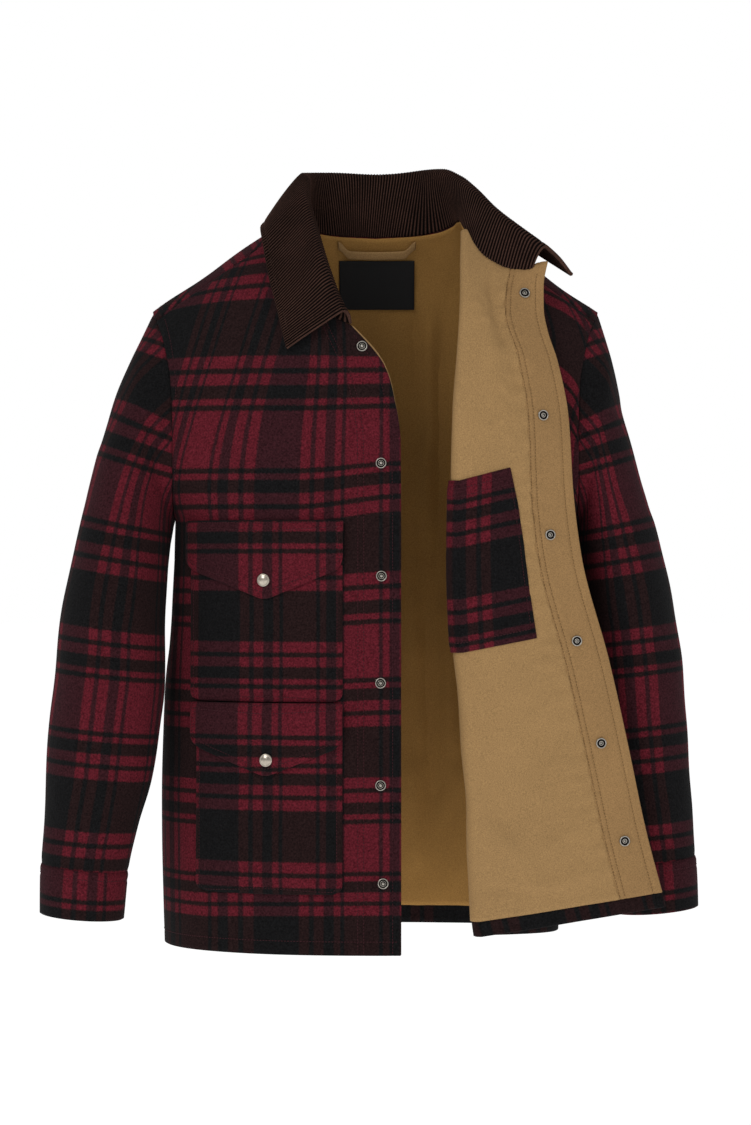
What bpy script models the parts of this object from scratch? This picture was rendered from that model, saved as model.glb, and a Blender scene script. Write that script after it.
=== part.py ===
"""Insulated jacket: wool shell with a corduroy collar, in its worn, hollow form.

The right front hangs closed and the left front is turned back along an upright fold.
All sizes are millimetres until a mesh is written, which is in metres.
X runs to the viewer's right, the front faces -Y and Z is up.
The origin lies in the neck, on the line of the shoulders.
"""

import math

import bpy
from mathutils import Vector

MM = 0.001

# Walls and gaps
WOOL = 2.5
LINING = 1.0
LINING_NEAR = WOOL + 0.3
LINING_FAR = LINING_NEAR + LINING
COLLAR_WALL = 4.0
SEAM_GAP = 0.3
HEM_BAND = 16.0

# Body
UNDERARM = -303.0
SECTION_POWER = 2.3
RIDGE_ROUND = 190.0
SEAM_FORWARD = 14.0
NECK_POINT = 96.0
ARMHOLE_HALF_DEPTH = 72.0
ARMHOLE_WIDEST = -232.0
FACING_WIDTH = 45.0
FACING_WIDTH_TOP = 40.0
NECK_TURN = 91.0
FACING_TOP = (-66.0, -75.0)
EDGE_TOP = (-26.5, -101.0)
STRIP_TOP_DIP = 3.0
HEM_OPEN_SIDE = -742.0
HEM = -753.0

# Left front, turned back
FOLD_RADIUS = 6.0
FOLD_RADIUS_TOP = 2.5
FOLD_SHOW = LINING_FAR
FOLD_BOTTOM = -739.0
OPEN_BOTTOM = -709.5
OPEN_UNDERARM = -290.0
OPEN_TOP = -32.4
LAYER_BOW = 16.0
DIP_START = 1.55
NOTCH = 0.575
LAYER_EASE = 4.0
NECK_EASE = 0.04

# Snaps: radius and height of each step of the turned profile
STUD_PROFILE = ((5.5, 0.0), (5.5, 1.1), (4.9, 1.5), (2.3, 1.5), (2.0, 3.2))
SOCKET_PROFILE = ((5.5, 0.0), (5.5, 1.4), (4.8, 1.9), (2.9, 1.9), (2.5, 0.8))
CAP_PROFILE = ((6.8, 0.0), (6.8, 0.9), (6.0, 1.8), (3.4, 2.5))
SNAP_SIDES = 12
SNAP_LIFT = 0.6


class Table:
    """Rows of numbers under named columns, read smoothly at any value of the first column."""

    def __init__(self, names, *rows):
        self.names = names.split()
        self.rows = sorted(rows)
        self.keys = [row[0] for row in self.rows]

    def slope(self, index, column):
        """Slope at a row that never overshoots its neighbours."""
        last = len(self.rows) - 1
        steps = []
        for low in (index - 1, index):
            if 0 <= low < last:
                rise = self.rows[low + 1][column] - self.rows[low][column]
                steps.append(rise / (self.keys[low + 1] - self.keys[low]))
        if len(steps) == 1:
            return steps[0]
        if steps[0] * steps[1] <= 0:
            return 0.0
        return 2 * steps[0] * steps[1] / (steps[0] + steps[1])

    def read(self, key, name):
        column = self.names.index(name)
        if key <= self.keys[0]:
            return self.rows[0][column]
        if key >= self.keys[-1]:
            return self.rows[-1][column]
        index = max(i for i, start in enumerate(self.keys) if start <= key)
        width = self.keys[index + 1] - self.keys[index]
        t = (key - self.keys[index]) / width
        low = self.rows[index][column]
        high = self.rows[index + 1][column]
        low_slope = self.slope(index, column) * width
        high_slope = self.slope(index + 1, column) * width
        square = t * t
        cube = square * t
        return (
            low * (2 * cube - 3 * square + 1)
            + low_slope * (cube - 2 * square + t)
            + high * (3 * square - 2 * cube)
            + high_slope * (cube - square)
        )


# Half widths to each side and depths of the body at each height
BODY = Table(
    "z right left front open_front back",
    (-753, 226, 196, 138, 92, 152),
    (-640, 229, 199, 132, 94, 147),
    (-512, 228, 204, 127, 97, 140),
    (-400, 218, 209, 123, 100, 133),
    (-303, 215, 215, 120, 102, 128),
    (-200, 215, 215, 116, 104, 124),
    (-100, 215, 215, 108, 102, 118),
    (0, 215, 215, 100, 98, 112),
    (40, 215, 215, 96, 96, 108),
)
# Height of the shoulder ridge at each distance from the middle
RIDGE = Table(
    "x z",
    (0, 38), (60, 33), (93, 20), (119, 3), (180, -40), (238, -81), (262, -98),
)
# Distance of the armhole from the middle at each height
ARMHOLE = Table(
    "z x",
    (-303, 215), (-270, 214), (-220, 213.5), (-160, 216), (-125, 222), (-100, 229.5), (-81, 238),
    (0, 262), (40, 270),
)
# Free edge of the right front, and the seam of its facing
FRONT_EDGE = Table(
    "z x",
    (-753, 25.9), (-300, 25.9), (-223, 25.4), (-199, 23), (-184, 20), (-161, 15), (-142, 7.5),
    (-126, -4), (-101, -26.5),
)
FACING_SEAM = Table(
    "z x",
    (-753, -19), (-300, -19), (-223, -19.6), (-180, -25), (-140, -38), (-110, -52), (-75, -66),
)
# Neckline of the right front from the facing's seam up to the neck point
NECK_FRONT = Table("t x z", (0, -66, -75), (0.35, -79, -55), (0.7, -90, -27), (1, -96, 3))
# Back neckline
NECK_BACK = Table("x z", (0, 7), (43, 9), (70, 13), (85, 17.5), (91, 20), (96, 3))
# Visible line of the fold and free edge of the left front
FOLD_LINE = Table(
    "z x",
    (-740, 101), (-721, 98.4), (-660, 95.8), (-605, 94.2), (-548, 88.8), (-482, 84.7), (-442, 80.5),
    (-346, 77), (-200, 79.7), (-130, 84.4), (-50, 89), (4, 89.7),
)
OPEN_EDGE = Table(
    "z x y",
    (-709.5, 303.4, -76), (-626, 281.4, -80), (-536, 262, -84), (-451, 242.6, -87),
    (-344, 214, -89), (-274, 205, -88), (-196, 199.7, -84), (-140, 189, -78), (-107, 178.7, -73),
    (-84, 175, -69), (-58, 175.6, -65), (-32.4, 181, -62),
)
# How far the opened neckline dips below a straight line
NECK_DIP = Table(
    "t dip",
    (0, 0), (0.084, -14), (0.22, -23), (0.44, -26), (0.72, -20), (0.8, -15.4), (0.886, -6), (1, 0),
)
# Roll line and leaf edge of the collar along the neckline, from its left end in the view
COLLAR = Table(
    "s roll_x roll_y roll_z edge_x edge_y edge_z",
    (0.00, -36, -110, -92, -91, -107, -127),
    (0.08, -46, -101, -70, -96, -103, -108),
    (0.17, -58, -80, -34, -103, -94, -80),
    (0.26, -68, -52, 2, -112, -74, -44),
    (0.33, -77, -18, 40, -119, -41, -3),
    (0.40, -78, 20, 63, -120, 12, 12),
    (0.46, -60, 48, 68, -98, 66, 22),
    (0.536, 0, 66, 69, 0, 100, 18),
    (0.61, 50, 55, 71, 72, 88, 22),
    (0.69, 72, 38, 70, 104, 64, 14),
    (0.76, 89, 18, 61, 122, 36, 8),
    (0.82, 104, -5, 45, 137, 12, 4),
    (0.88, 122, -27, 24, 155, -10, -8),
    (0.94, 146, -47, 3, 181, -34, -28),
    (1.00, 176, -66, -22, 206, -52, -46),
)
COLLAR_ROLL = 4.5
LEAF_CLEAR = 4.0
STAND_BULGE = ((0.35, 2.4), (0.7, 4.0))
ROLL_STEP = 0.03
ROLL_STEPS = 4
LEAF_BULGE = 1.5
SHOULDER_REACH = 1.7
SHOULDER_TRIES = 68
# How far the facing's edge shows past the wool of the right front
FACING_SHOW = Table("z reach", (-235, 0), (-190, 0.8), (-150, 1.6), (-126, 3.6), (-101, 4.4))
# Sleeves: outer and inner edge of each ring in the front view, its middle and half depth in Y
RIGHT_SLEEVE = Table(
    "ring outer_x outer_z inner_x inner_z y depth",
    (1, -262, -133, -217.5, -317, -4, 74),
    (2, -284, -190, -220, -332, -14, 75),
    (3, -303, -262, -221.5, -357, -27, 75),
    (4, -318, -331, -221, -392, -40, 73),
    (5, -331, -398, -221, -430, -54, 70),
    (6, -336, -458, -221.5, -477, -64, 66),
    (7, -342, -510, -227, -528, -69, 62),
    (8, -345, -566, -236, -580, -72, 58),
    (9, -348, -616, -249, -626, -74, 53),
    (10, -350.5, -664, -260.5, -673, -75, 49),
    (11, -351.5, -715, -265, -722, -76, 47),
)
LEFT_SLEEVE = Table(
    "ring outer_x outer_z inner_x inner_z y depth",
    (1, 253, -133, 217.5, -317, 0, 72),
    (2, 267, -190, 219, -332, 2, 71),
    (3, 286, -262, 220, -357, 4, 69),
    (4, 306, -331, 220.5, -392, 6, 67),
    (5, 321, -398, 222, -430, 6, 64),
    (6, 330, -458, 225, -477, 6, 61),
    (7, 333, -510, 229, -526, 6, 58),
    (8, 337, -566, 235, -580, 6, 55),
    (9, 341, -616, 243, -626, 5, 51),
    (10, 344, -664, 252, -673, 4, 48),
    (11, 346, -717, 257, -725, 3, 46),
)
CUFF_RING = 10
LAST_RING = 11
# Pockets on the right front: left and right edge, top and bottom
POCKETS = Table(
    "pocket left right top bottom",
    (0, -192.5, -34.6, -322, -493),
    (1, -186, -34.8, -515, -691),
)
# Flaps: top, height of the straight sides and height at the point
FLAPS = Table(
    "flap left right top side tip point",
    (0, -195.5, -33.6, -306, -354, -387.7, -114.3),
    (1, -189, -34.2, -495.5, -538.5, -570.6, -112.5),
)
# Distances of the pockets and flaps from the front's outer side
POCKET_LIFT = 0.9
CHEST_POCKET_FAR = 3.2
CHEST_FLAP_FAR = 6.2
LOWER_POCKET_FAR = 4.9
LOWER_FLAP_FAR = 7.9
FLAP_LIFT = 0.5
# Flap caps, neck label, hanger loop and inner pocket
CHEST_CAP = (-114.2, -367.5)
LOWER_CAP = (-111, -553.5)
LABEL = {"left": -40, "right": 43, "bottom": -67, "top": -14.5, "lift": 1.8, "wall": 0.8}
LOOP = {
    "left": -41, "right": 44, "top": 1.5, "hang": 9, "width": 8, "lift": 1.8, "stand": 3,
    "wall": 1.2,
}
INNER_POCKET = {
    "bottom_v": 0.681, "top_v": 1.127, "right_low": 168, "right_high": 139,
    "rise_low": 0.012, "rise_high": 0.037, "lift": 0.7, "wall": 2.2,
}
STUD_PLACES = ((-14, -124.5), (5.7, -246), (6.1, -363), (5.2, -473.6), (5.2, -579), (7.8, -679.8))
SOCKET_PLACES = (
    (155.9, -67.9), (172.6, -196.2), (180.9, -320.3), (209, -430.8), (234.4, -537.4), (259.6, -640),
)
FIRST_SOCKET_LIFT = 1.2


def signed_power(value, power):
    return math.copysign(abs(value) ** power, value)


def blend(low, high, t):
    return low * (1 - t) + high * t


def ridge_drop(phi):
    """Distance below the shoulder ridge for an angle over its round."""
    angle = abs(phi)
    if angle < math.pi / 2:
        return RIDGE_ROUND * (1 - math.cos(angle))
    return RIDGE_ROUND * (1 + angle - math.pi / 2)


def ridge_angle(x, z):
    drop = max(RIDGE.read(abs(x), "z") - z, 0.0)
    if drop < RIDGE_ROUND:
        return math.acos(1 - drop / RIDGE_ROUND)
    return math.pi / 2 + drop / RIDGE_ROUND - 1


SEAM_ANGLE = math.acos(1 - SEAM_FORWARD / RIDGE_ROUND)


def half_width(z, face, side):
    """Half width of the body's section; above the underarm it runs on past the armhole."""
    if z <= UNDERARM:
        return BODY.read(z, side)
    depth = ARMHOLE_HALF_DEPTH
    if z < ARMHOLE_WIDEST:
        fall = (ARMHOLE_WIDEST - z) / (ARMHOLE_WIDEST - UNDERARM)
        depth *= math.sqrt(max(1 - fall * fall, 0.0))
    share = 1 - (depth / BODY.read(z, face)) ** SECTION_POWER
    return ARMHOLE.read(z, "x") / share ** (1 / SECTION_POWER)


def body_point(x, phi, face):
    """Point of the body at a distance from the middle and an angle over the ridge."""
    z = RIDGE.read(abs(x), "z") - ridge_drop(phi)
    if face == "back" and phi < 0:
        face = "front" if x < 0 else "open_front"
    side = "left" if x > 0 else "right"
    ratio = min(abs(x) / half_width(z, face, side), 1.0)
    depth = BODY.read(z, face) * (1 - ratio ** SECTION_POWER) ** (1 / SECTION_POWER)
    lean = math.sin(min(abs(phi), math.pi / 2))
    toward = 1 if face == "back" else -1
    return Vector((x, toward * depth * lean, z))


def section_point(theta, z, face):
    """Point of the section at a height; theta is 0 at the right side seam and pi at the left."""
    across = signed_power(math.cos(theta), 2 / SECTION_POWER)
    side = "right" if across >= 0 or face == "front" else "left"
    x = -across * half_width(z, face, side)
    depth = BODY.read(z, face) * signed_power(math.sin(theta), 2 / SECTION_POWER)
    lean = math.sin(min(ridge_angle(x, z), math.pi / 2))
    toward = 1 if face == "back" else -1
    return Vector((x, toward * depth * lean, z))


def section_angle(x, z, face):
    """The angle at which the section reaches a distance from the middle."""
    side = "left" if x > 0 and face != "front" else "right"
    ratio = max(min(-x / half_width(z, face, side), 1.0), -1.0)
    return math.acos(signed_power(ratio, SECTION_POWER / 2))


def armhole_place(phi, sign):
    """Distance from the middle on the armhole at an angle over the ridge."""
    z = -100.0
    for _ in range(14):
        z = RIDGE.read(ARMHOLE.read(z, "x"), "z") - ridge_drop(phi)
    return sign * ARMHOLE.read(z, "x"), z


def patch(s, t, bottom, top, left, right):
    """Blend of four edge curves, each giving (x, phi)."""
    point = []
    for axis in (0, 1):
        sides = blend(left(t)[axis], right(t)[axis], s)
        ends = blend(bottom(s)[axis], top(s)[axis], t)
        corners = blend(
            blend(bottom(0)[axis], bottom(1)[axis], s),
            blend(top(0)[axis], top(1)[axis], s),
            t,
        )
        point.append(sides + ends - corners)
    return point


def underarm_angle():
    x = ARMHOLE.read(UNDERARM, "x")
    return ridge_angle(x, UNDERARM)


def armhole_edge(sign, end):
    """Edge curve up the armhole from the underarm to an angle over the ridge."""
    start = underarm_angle()

    def edge(t):
        lift = 1 - math.cos(t * math.pi / 2) if t < 1 else 1
        phi = blend(start, end, 0.55 * lift + 0.45 * t)
        x, _ = armhole_place(phi, sign)
        return x, phi

    return edge


RIGHT_SHOULDER_SHARE = 0.62


def right_front(u, v):
    """Right front: u 0 to 1 is the panel, 1 to 2 its facing strip; v 1 is the underarm."""
    face = "front"
    low = min(v, 1.0)
    edge_z = blend(HEM, UNDERARM, low)
    seam_theta = section_angle(FACING_SEAM.read(edge_z, "x"), edge_z, face)
    edge_theta = section_angle(FRONT_EDGE.read(edge_z, "x"), edge_z, face)
    s = u if u <= 1 else u - 1

    def lower(share):
        if u <= 1:
            return blend(0.0, seam_theta, share)
        return blend(seam_theta, edge_theta, share)

    if v <= 1:
        return section_point(lower(s), edge_z, face)

    def bottom(share):
        x = section_point(lower(share), UNDERARM, face).x
        return x, ridge_angle(x, UNDERARM)

    def seam(t):
        z = blend(UNDERARM, FACING_TOP[1], t)
        x = FACING_SEAM.read(z, "x")
        return x, ridge_angle(x, z)

    def edge(t):
        z = blend(UNDERARM, EDGE_TOP[1], t)
        x = FRONT_EDGE.read(z, "x")
        return x, ridge_angle(x, z)

    def shoulder_and_neck(share):
        if share <= RIGHT_SHOULDER_SHARE:
            x, _ = armhole_place(SEAM_ANGLE, -1)
            x = blend(x, -NECK_POINT, share / RIGHT_SHOULDER_SHARE)
            return x, SEAM_ANGLE
        down = 1 - (share - RIGHT_SHOULDER_SHARE) / (1 - RIGHT_SHOULDER_SHARE)
        x = NECK_FRONT.read(down, "x")
        z = NECK_FRONT.read(down, "z")
        return x, ridge_angle(x, z)

    def strip_top(share):
        x = blend(FACING_TOP[0], EDGE_TOP[0], share)
        z = blend(FACING_TOP[1], EDGE_TOP[1], share) - STRIP_TOP_DIP * math.sin(math.pi * share)
        return x, ridge_angle(x, z)

    t = v - 1
    if u <= 1:
        x, phi = patch(s, t, bottom, shoulder_and_neck, armhole_edge(-1, SEAM_ANGLE), seam)
    else:
        x, phi = patch(s, t, bottom, strip_top, seam, edge)
    return body_point(x, phi, face)


BACK_SHOULDER_SHARE = 0.29


def back_neck_angle(x):
    """Angle over the ridge of the back neckline; it turns to the front at the neck points."""
    reach = abs(x)
    if reach < NECK_TURN:
        return ridge_angle(x, NECK_BACK.read(reach, "z"))
    return -SEAM_ANGLE * (reach - NECK_TURN) / (NECK_POINT - NECK_TURN)


def back(u, v):
    """Back: u 0 to 1 from the right to the left side; v 1 is the underarm, 2 the top edge."""
    face = "back"
    theta = math.pi * u
    low = min(v, 1.0)
    hem = blend(HEM, HEM_OPEN_SIDE, max(2 * u - 1, 0) ** 2)
    if v <= 1:
        return section_point(theta, blend(hem, UNDERARM, low), face)

    def bottom(share):
        x = section_point(math.pi * share, UNDERARM, face).x
        return x, ridge_angle(x, UNDERARM)

    def top(share):
        near = min(share, 1 - share)
        sign = -1 if share < 0.5 else 1
        if near <= BACK_SHOULDER_SHARE:
            x, _ = armhole_place(SEAM_ANGLE, 1)
            return sign * blend(x, NECK_POINT, near / BACK_SHOULDER_SHARE), -SEAM_ANGLE
        along = (near - BACK_SHOULDER_SHARE) / (0.5 - BACK_SHOULDER_SHARE)
        reach = NECK_POINT * math.cos(along * math.pi / 2)
        return sign * reach, back_neck_angle(reach)

    t = v - 1
    x, phi = patch(u, t, bottom, top, armhole_edge(-1, -SEAM_ANGLE), armhole_edge(1, -SEAM_ANGLE))
    return body_point(x, phi, face)


def fold_radius(v):
    return blend(FOLD_RADIUS, FOLD_RADIUS_TOP, max(v - 1, 0))


def fold_place(v):
    """Middle of the fold in X and its height."""
    if v <= 1:
        z = blend(FOLD_BOTTOM, UNDERARM, v)
    else:
        top = RIDGE.read(NECK_POINT, "z") - ridge_drop(SEAM_ANGLE + NECK_EASE)
        z = blend(UNDERARM, top, v - 1)
    return FOLD_LINE.read(z, "x") + fold_radius(v) + FOLD_SHOW, z


def left_front(u, v):
    """Left front: u 0 to 1 lies under the fold, 1 to 2 turns round it,
    2 to 3 lies over it and 3 to 4 is the facing strip; v 1 is the underarm."""
    face = "open_front"
    fold_x, fold_z = fold_place(v)
    radius = fold_radius(v)
    if u < 1:
        if v <= 1:
            side_z = blend(HEM_OPEN_SIDE, UNDERARM, v)
            z = blend(side_z, fold_z, u)
            theta = blend(math.pi, section_angle(fold_x, fold_z, face), u)
            return section_point(theta, z, face)

        def bottom(share):
            corner_x, corner_z = fold_place(1)
            theta = blend(math.pi, section_angle(corner_x, corner_z, face), share)
            x = section_point(theta, UNDERARM, face).x
            return x, ridge_angle(x, UNDERARM)

        def fold(t):
            x, z = fold_place(1 + t)
            return x, ridge_angle(x, z)

        def top(share):
            x, _ = armhole_place(SEAM_ANGLE, 1)
            return blend(x, NECK_POINT, share), SEAM_ANGLE + NECK_EASE * share ** 8

        x, phi = patch(u, v - 1, bottom, top, armhole_edge(1, SEAM_ANGLE), fold)
        return body_point(x, phi, face)

    root = body_point(fold_x, ridge_angle(fold_x, fold_z), face)
    if u < 2:
        turn = math.pi * (u - 1)
        shift = Vector((-radius * math.sin(turn), -radius * (1 - math.cos(turn)), 0))
        return root + shift
    if v <= 1:
        edge_z = blend(OPEN_BOTTOM, OPEN_UNDERARM, v)
    else:
        edge_z = blend(OPEN_UNDERARM, OPEN_TOP, v - 1)
    edge_x = OPEN_EDGE.read(edge_z, "x")
    width = blend(FACING_WIDTH, FACING_WIDTH_TOP, max(v - 1, 0))
    seam_x = edge_x - width
    if u <= 3:
        x = blend(fold_x, seam_x, u - 2)
    else:
        x = blend(seam_x, edge_x, u - 3)
    t = (x - fold_x) / (edge_x - fold_x)
    near_top = max((v - DIP_START) / (2 - DIP_START), 0)
    dip = NECK_DIP.read(t, "dip") * near_top * near_top * (3 - 2 * near_top)
    z = blend(fold_z, edge_z, t) + dip
    y = blend(root.y - 2 * radius, OPEN_EDGE.read(edge_z, "y"), t)
    y -= LAYER_BOW * t * (1 - t)
    under = body_point(x, ridge_angle(x, z), face).y - 2 * radius
    soft = LAYER_EASE * min(8 * t, 1.0)
    y = (y + under - math.sqrt((y - under) ** 2 + soft * soft)) / 2
    return Vector((x, y, z))


def make_grid(surface, us, vs, inward_sign):
    """Points of a surface and the directions that lead to its inner side."""
    step = 0.004
    points = []
    inward = []
    for v in vs:
        row = []
        row_in = []
        for u in us:
            along = surface(min(u + step, us[-1]), v) - surface(max(u - step, us[0]), v)
            up = surface(u, min(v + step, vs[-1])) - surface(u, max(v - step, vs[0]))
            normal = along.cross(up)
            row.append(surface(u, v))
            row_in.append(normal.normalized() * inward_sign)
        points.append(row)
        inward.append(row_in)
    return {"points": points, "inward": inward, "us": us, "vs": vs}


def part_of(grid, columns=None, rows=None):
    """A part of a grid, by its first and last column and row."""
    first, last = columns or (0, len(grid["us"]) - 1)
    low, high = rows or (0, len(grid["vs"]) - 1)
    return {
        "points": [row[first:last + 1] for row in grid["points"][low:high + 1]],
        "inward": [row[first:last + 1] for row in grid["inward"][low:high + 1]],
    }


def pull_back(points):
    """Draw the rim of a grid in by half a seam's gap."""
    moved = [[point.copy() for point in row] for row in points]
    half = SEAM_GAP / 2
    last = len(points) - 1
    end = len(points[0]) - 1
    for j, row in enumerate(points):
        for edge, inner in ((0, 1), (end, end - 1)):
            moved[j][edge] += (row[inner] - row[edge]).normalized() * half
    for i in range(end + 1):
        for edge, inner in ((0, 1), (last, last - 1)):
            moved[edge][i] += (points[inner][i] - points[edge][i]).normalized() * half
    return moved


def add_object(name, vertices, faces, material):
    mesh = bpy.data.meshes.new(name)
    mesh.from_pydata([point * MM for point in vertices], [], faces)
    mesh.validate()
    mesh.materials.append(material)
    mesh.shade_smooth()
    mesh.set_sharp_from_angle(angle=math.radians(40))
    made = bpy.data.objects.new(name, mesh)
    bpy.context.scene.collection.objects.link(made)
    return made


def wall(name, grid, near, far, material, turned=False, ring=False):
    """A closed wall between two distances along a grid's inward directions."""
    points = grid["points"] if ring else pull_back(grid["points"])
    if ring:
        points = pull_ends(points)
    rows = len(points)
    columns = len(points[0])
    vertices = []
    for distance in (near, far):
        for j in range(rows):
            for i in range(columns):
                vertices.append(points[j][i] + grid["inward"][j][i] * distance)

    def index(layer, j, i):
        return layer * rows * columns + j * columns + i % columns

    faces = []

    def quad(a, b, c, d, flip):
        for face in ((a, b, c), (a, c, d)):
            faces.append(face[::-1] if flip != turned else face)

    spans = columns if ring else columns - 1
    for j in range(rows - 1):
        for i in range(spans):
            for layer in (0, 1):
                quad(index(layer, j, i), index(layer, j, i + 1),
                     index(layer, j + 1, i + 1), index(layer, j + 1, i), layer == 1)
    for i in range(spans):
        quad(index(0, 0, i), index(1, 0, i), index(1, 0, i + 1), index(0, 0, i + 1), False)
        quad(index(0, rows - 1, i), index(0, rows - 1, i + 1),
             index(1, rows - 1, i + 1), index(1, rows - 1, i), False)
    if not ring:
        for j in range(rows - 1):
            quad(index(0, j, 0), index(0, j + 1, 0), index(1, j + 1, 0), index(1, j, 0), False)
            quad(index(0, j, columns - 1), index(1, j, columns - 1),
                 index(1, j + 1, columns - 1), index(0, j + 1, columns - 1), False)
    return add_object(name, vertices, faces, material)


def pull_ends(points):
    """Draw both ends of a tube in by half a seam's gap."""
    moved = [[point.copy() for point in row] for row in points]
    for i in range(len(points[0])):
        for edge, inner in ((0, 1), (-1, -2)):
            moved[edge][i] += (points[inner][i] - points[edge][i]).normalized() * (SEAM_GAP / 2)
    return moved


def steps(start, end, count):
    return [start + (end - start) * i / count for i in range(count + 1)]


def make_material(name, colour, roughness, metallic=0.0):
    material = bpy.data.materials.new(name)
    material.use_nodes = True
    shader = material.node_tree.nodes["Principled BSDF"]
    shader.inputs["Base Color"].default_value = (*colour, 1)
    shader.inputs["Roughness"].default_value = roughness
    shader.inputs["Metallic"].default_value = metallic
    return material


def sleeve_rings(loop, table):
    """Rings of a sleeve that take the armhole's points one by one down to the cuff."""
    bottom = min(point.z for point in loop)
    top = max(point.z for point in loop)
    angles = []
    for point in loop:
        height = 2 * (point.z - bottom) / (top - bottom) - 1
        angles.append(math.atan2(point.y / ARMHOLE_HALF_DEPTH, height))
    rings = [list(loop)]
    for ring in range(1, LAST_RING + 1):
        outer = Vector((table.read(ring, "outer_x"), 0, table.read(ring, "outer_z")))
        inner = Vector((table.read(ring, "inner_x"), 0, table.read(ring, "inner_z")))
        middle = (outer + inner) / 2
        middle.y = table.read(ring, "y")
        across = (outer - inner) / 2
        depth = table.read(ring, "depth")
        row = []
        for angle in angles:
            row.append(middle + across * math.cos(angle) + Vector((0, depth * math.sin(angle), 0)))
        rings.append(row)
    return rings


def ring_inward(rings):
    """Directions into a tube, from the points next to each one."""
    count = len(rings[0])
    inward = []
    for j, ring in enumerate(rings):
        middle = sum(ring, Vector()) / count
        row = []
        for i, point in enumerate(ring):
            around = ring[(i + 1) % count] - ring[i - 1]
            along = rings[min(j + 1, len(rings) - 1)][i] - rings[max(j - 1, 0)][i]
            normal = around.cross(along).normalized()
            if normal.dot(middle - point) < 0:
                normal = -normal
            row.append(normal)
        inward.append(row)
    return inward


def make_sleeve(name, cuff_name, front_grid, front_column, back_grid, back_column, table):
    """Sleeve and cuff from the armhole's points on the front and the back."""
    base = FIRST_UPPER_ROW
    places = [(front_grid, j, front_column) for j in range(base, len(front_grid["vs"]))]
    back_last = len(back_grid["vs"]) - 1
    places += [(back_grid, j, back_column) for j in range(back_last - 1, base, -1)]
    loop = [grid["points"][j][i] for grid, j, i in places]
    rings = sleeve_rings(loop, table)
    inward = ring_inward(rings)
    for k, (grid, j, i) in enumerate(places):
        shared = (grid["inward"][j][i] + inward[0][k]).normalized()
        inward[0][k] = shared
        grid["inward"][j][i] = shared
    back_grid["inward"][base][back_column] = inward[0][0]
    back_grid["inward"][back_last][back_column] = front_grid["inward"][-1][front_column]
    turned = sleeve_is_turned(rings, inward)
    tube = {"points": rings[:CUFF_RING + 1], "inward": inward[:CUFF_RING + 1]}
    cuff_rows = rings[CUFF_RING:]
    cuff = {"points": cuff_rows, "inward": inward[CUFF_RING:]}
    return (name, tube, turned), (cuff_name, cuff, turned)


def sleeve_is_turned(rings, inward):
    around = rings[5][1] - rings[5][0]
    along = rings[6][0] - rings[5][0]
    return around.cross(along).dot(inward[5][0]) > 0


def on_front(x, z):
    """Place across the right front's own columns at a distance from the middle."""
    seam = section_angle(FACING_SEAM.read(z, "x"), z, "front")
    return section_angle(x, z, "front") / seam


def patch_grid(columns_at, rows):
    """A grid on the right front from its own columns; columns_at gives them for a height."""
    points = []
    inward = []
    step = 0.002
    for row in rows:
        line = []
        line_in = []
        for u, z in columns_at(row):
            v = (z - HEM) / (UNDERARM - HEM)
            along = right_front(u + step, v) - right_front(u - step, v)
            up = right_front(u, v + step) - right_front(u, v - step)
            line.append(right_front(u, v))
            line_in.append(along.cross(up).normalized() * -1)
        points.append(line)
        inward.append(line_in)
    return {"points": points, "inward": inward}


def inner_columns(left, right, low, high, panel_columns):
    """The panel's own columns that stay inside two edges over a range of heights."""
    margin = 0.004
    start = max(on_front(left, z) for z in (low, high)) + margin
    end = min(on_front(right, z) for z in (low, high)) - margin
    return [u for u in panel_columns if start < u < end]


def past_edge(row):
    """The facing's last point in a row, moved out so that it shows past the wool's edge."""
    reach = FACING_SHOW.read(row[-1].z, "reach")
    return row[-1] + (row[-1] - row[-2]).normalized() * reach


def make_pocket(name, index, panel_columns, near, far, cloth):
    left = POCKETS.read(index, "left")
    right = POCKETS.read(index, "right")
    top = POCKETS.read(index, "top")
    bottom = POCKETS.read(index, "bottom")
    inner = inner_columns(left, right, bottom, top, panel_columns)

    def columns_at(z):
        us = [on_front(left, z)] + inner + [on_front(right, z)]
        return [(u, z) for u in us]

    own_rows = [blend(HEM, UNDERARM, v) for v in LOWER_ROWS]
    rows = [bottom] + [z for z in own_rows if bottom + 4 < z < top - 4] + [top]
    return wall(name, patch_grid(columns_at, rows), -near, -far, cloth, turned=True)


def make_flap(name, index, panel_columns, near, far, cloth):
    """A flap with straight sides and a pointed lower edge."""
    flap = {key: FLAPS.read(index, key) for key in FLAPS.names}
    inner = inner_columns(flap["left"], flap["right"], flap["tip"], flap["top"], panel_columns)

    def columns_at(share):
        middle = blend(flap["side"], flap["top"], share)
        point = on_front(flap["point"], middle)
        start = on_front(flap["left"], middle)
        end = on_front(flap["right"], middle)
        us = [start] + sorted(inner + [point]) + [end]
        places = []
        for u in us:
            if u <= point:
                reach = (u - start) / (point - start)
            else:
                reach = (end - u) / (end - point)
            foot = blend(flap["side"], flap["tip"], reach)
            places.append((u, blend(foot, flap["top"], share)))
        return places

    return wall(name, patch_grid(columns_at, steps(0, 1, 4)), -near, -far, cloth, turned=True)


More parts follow.
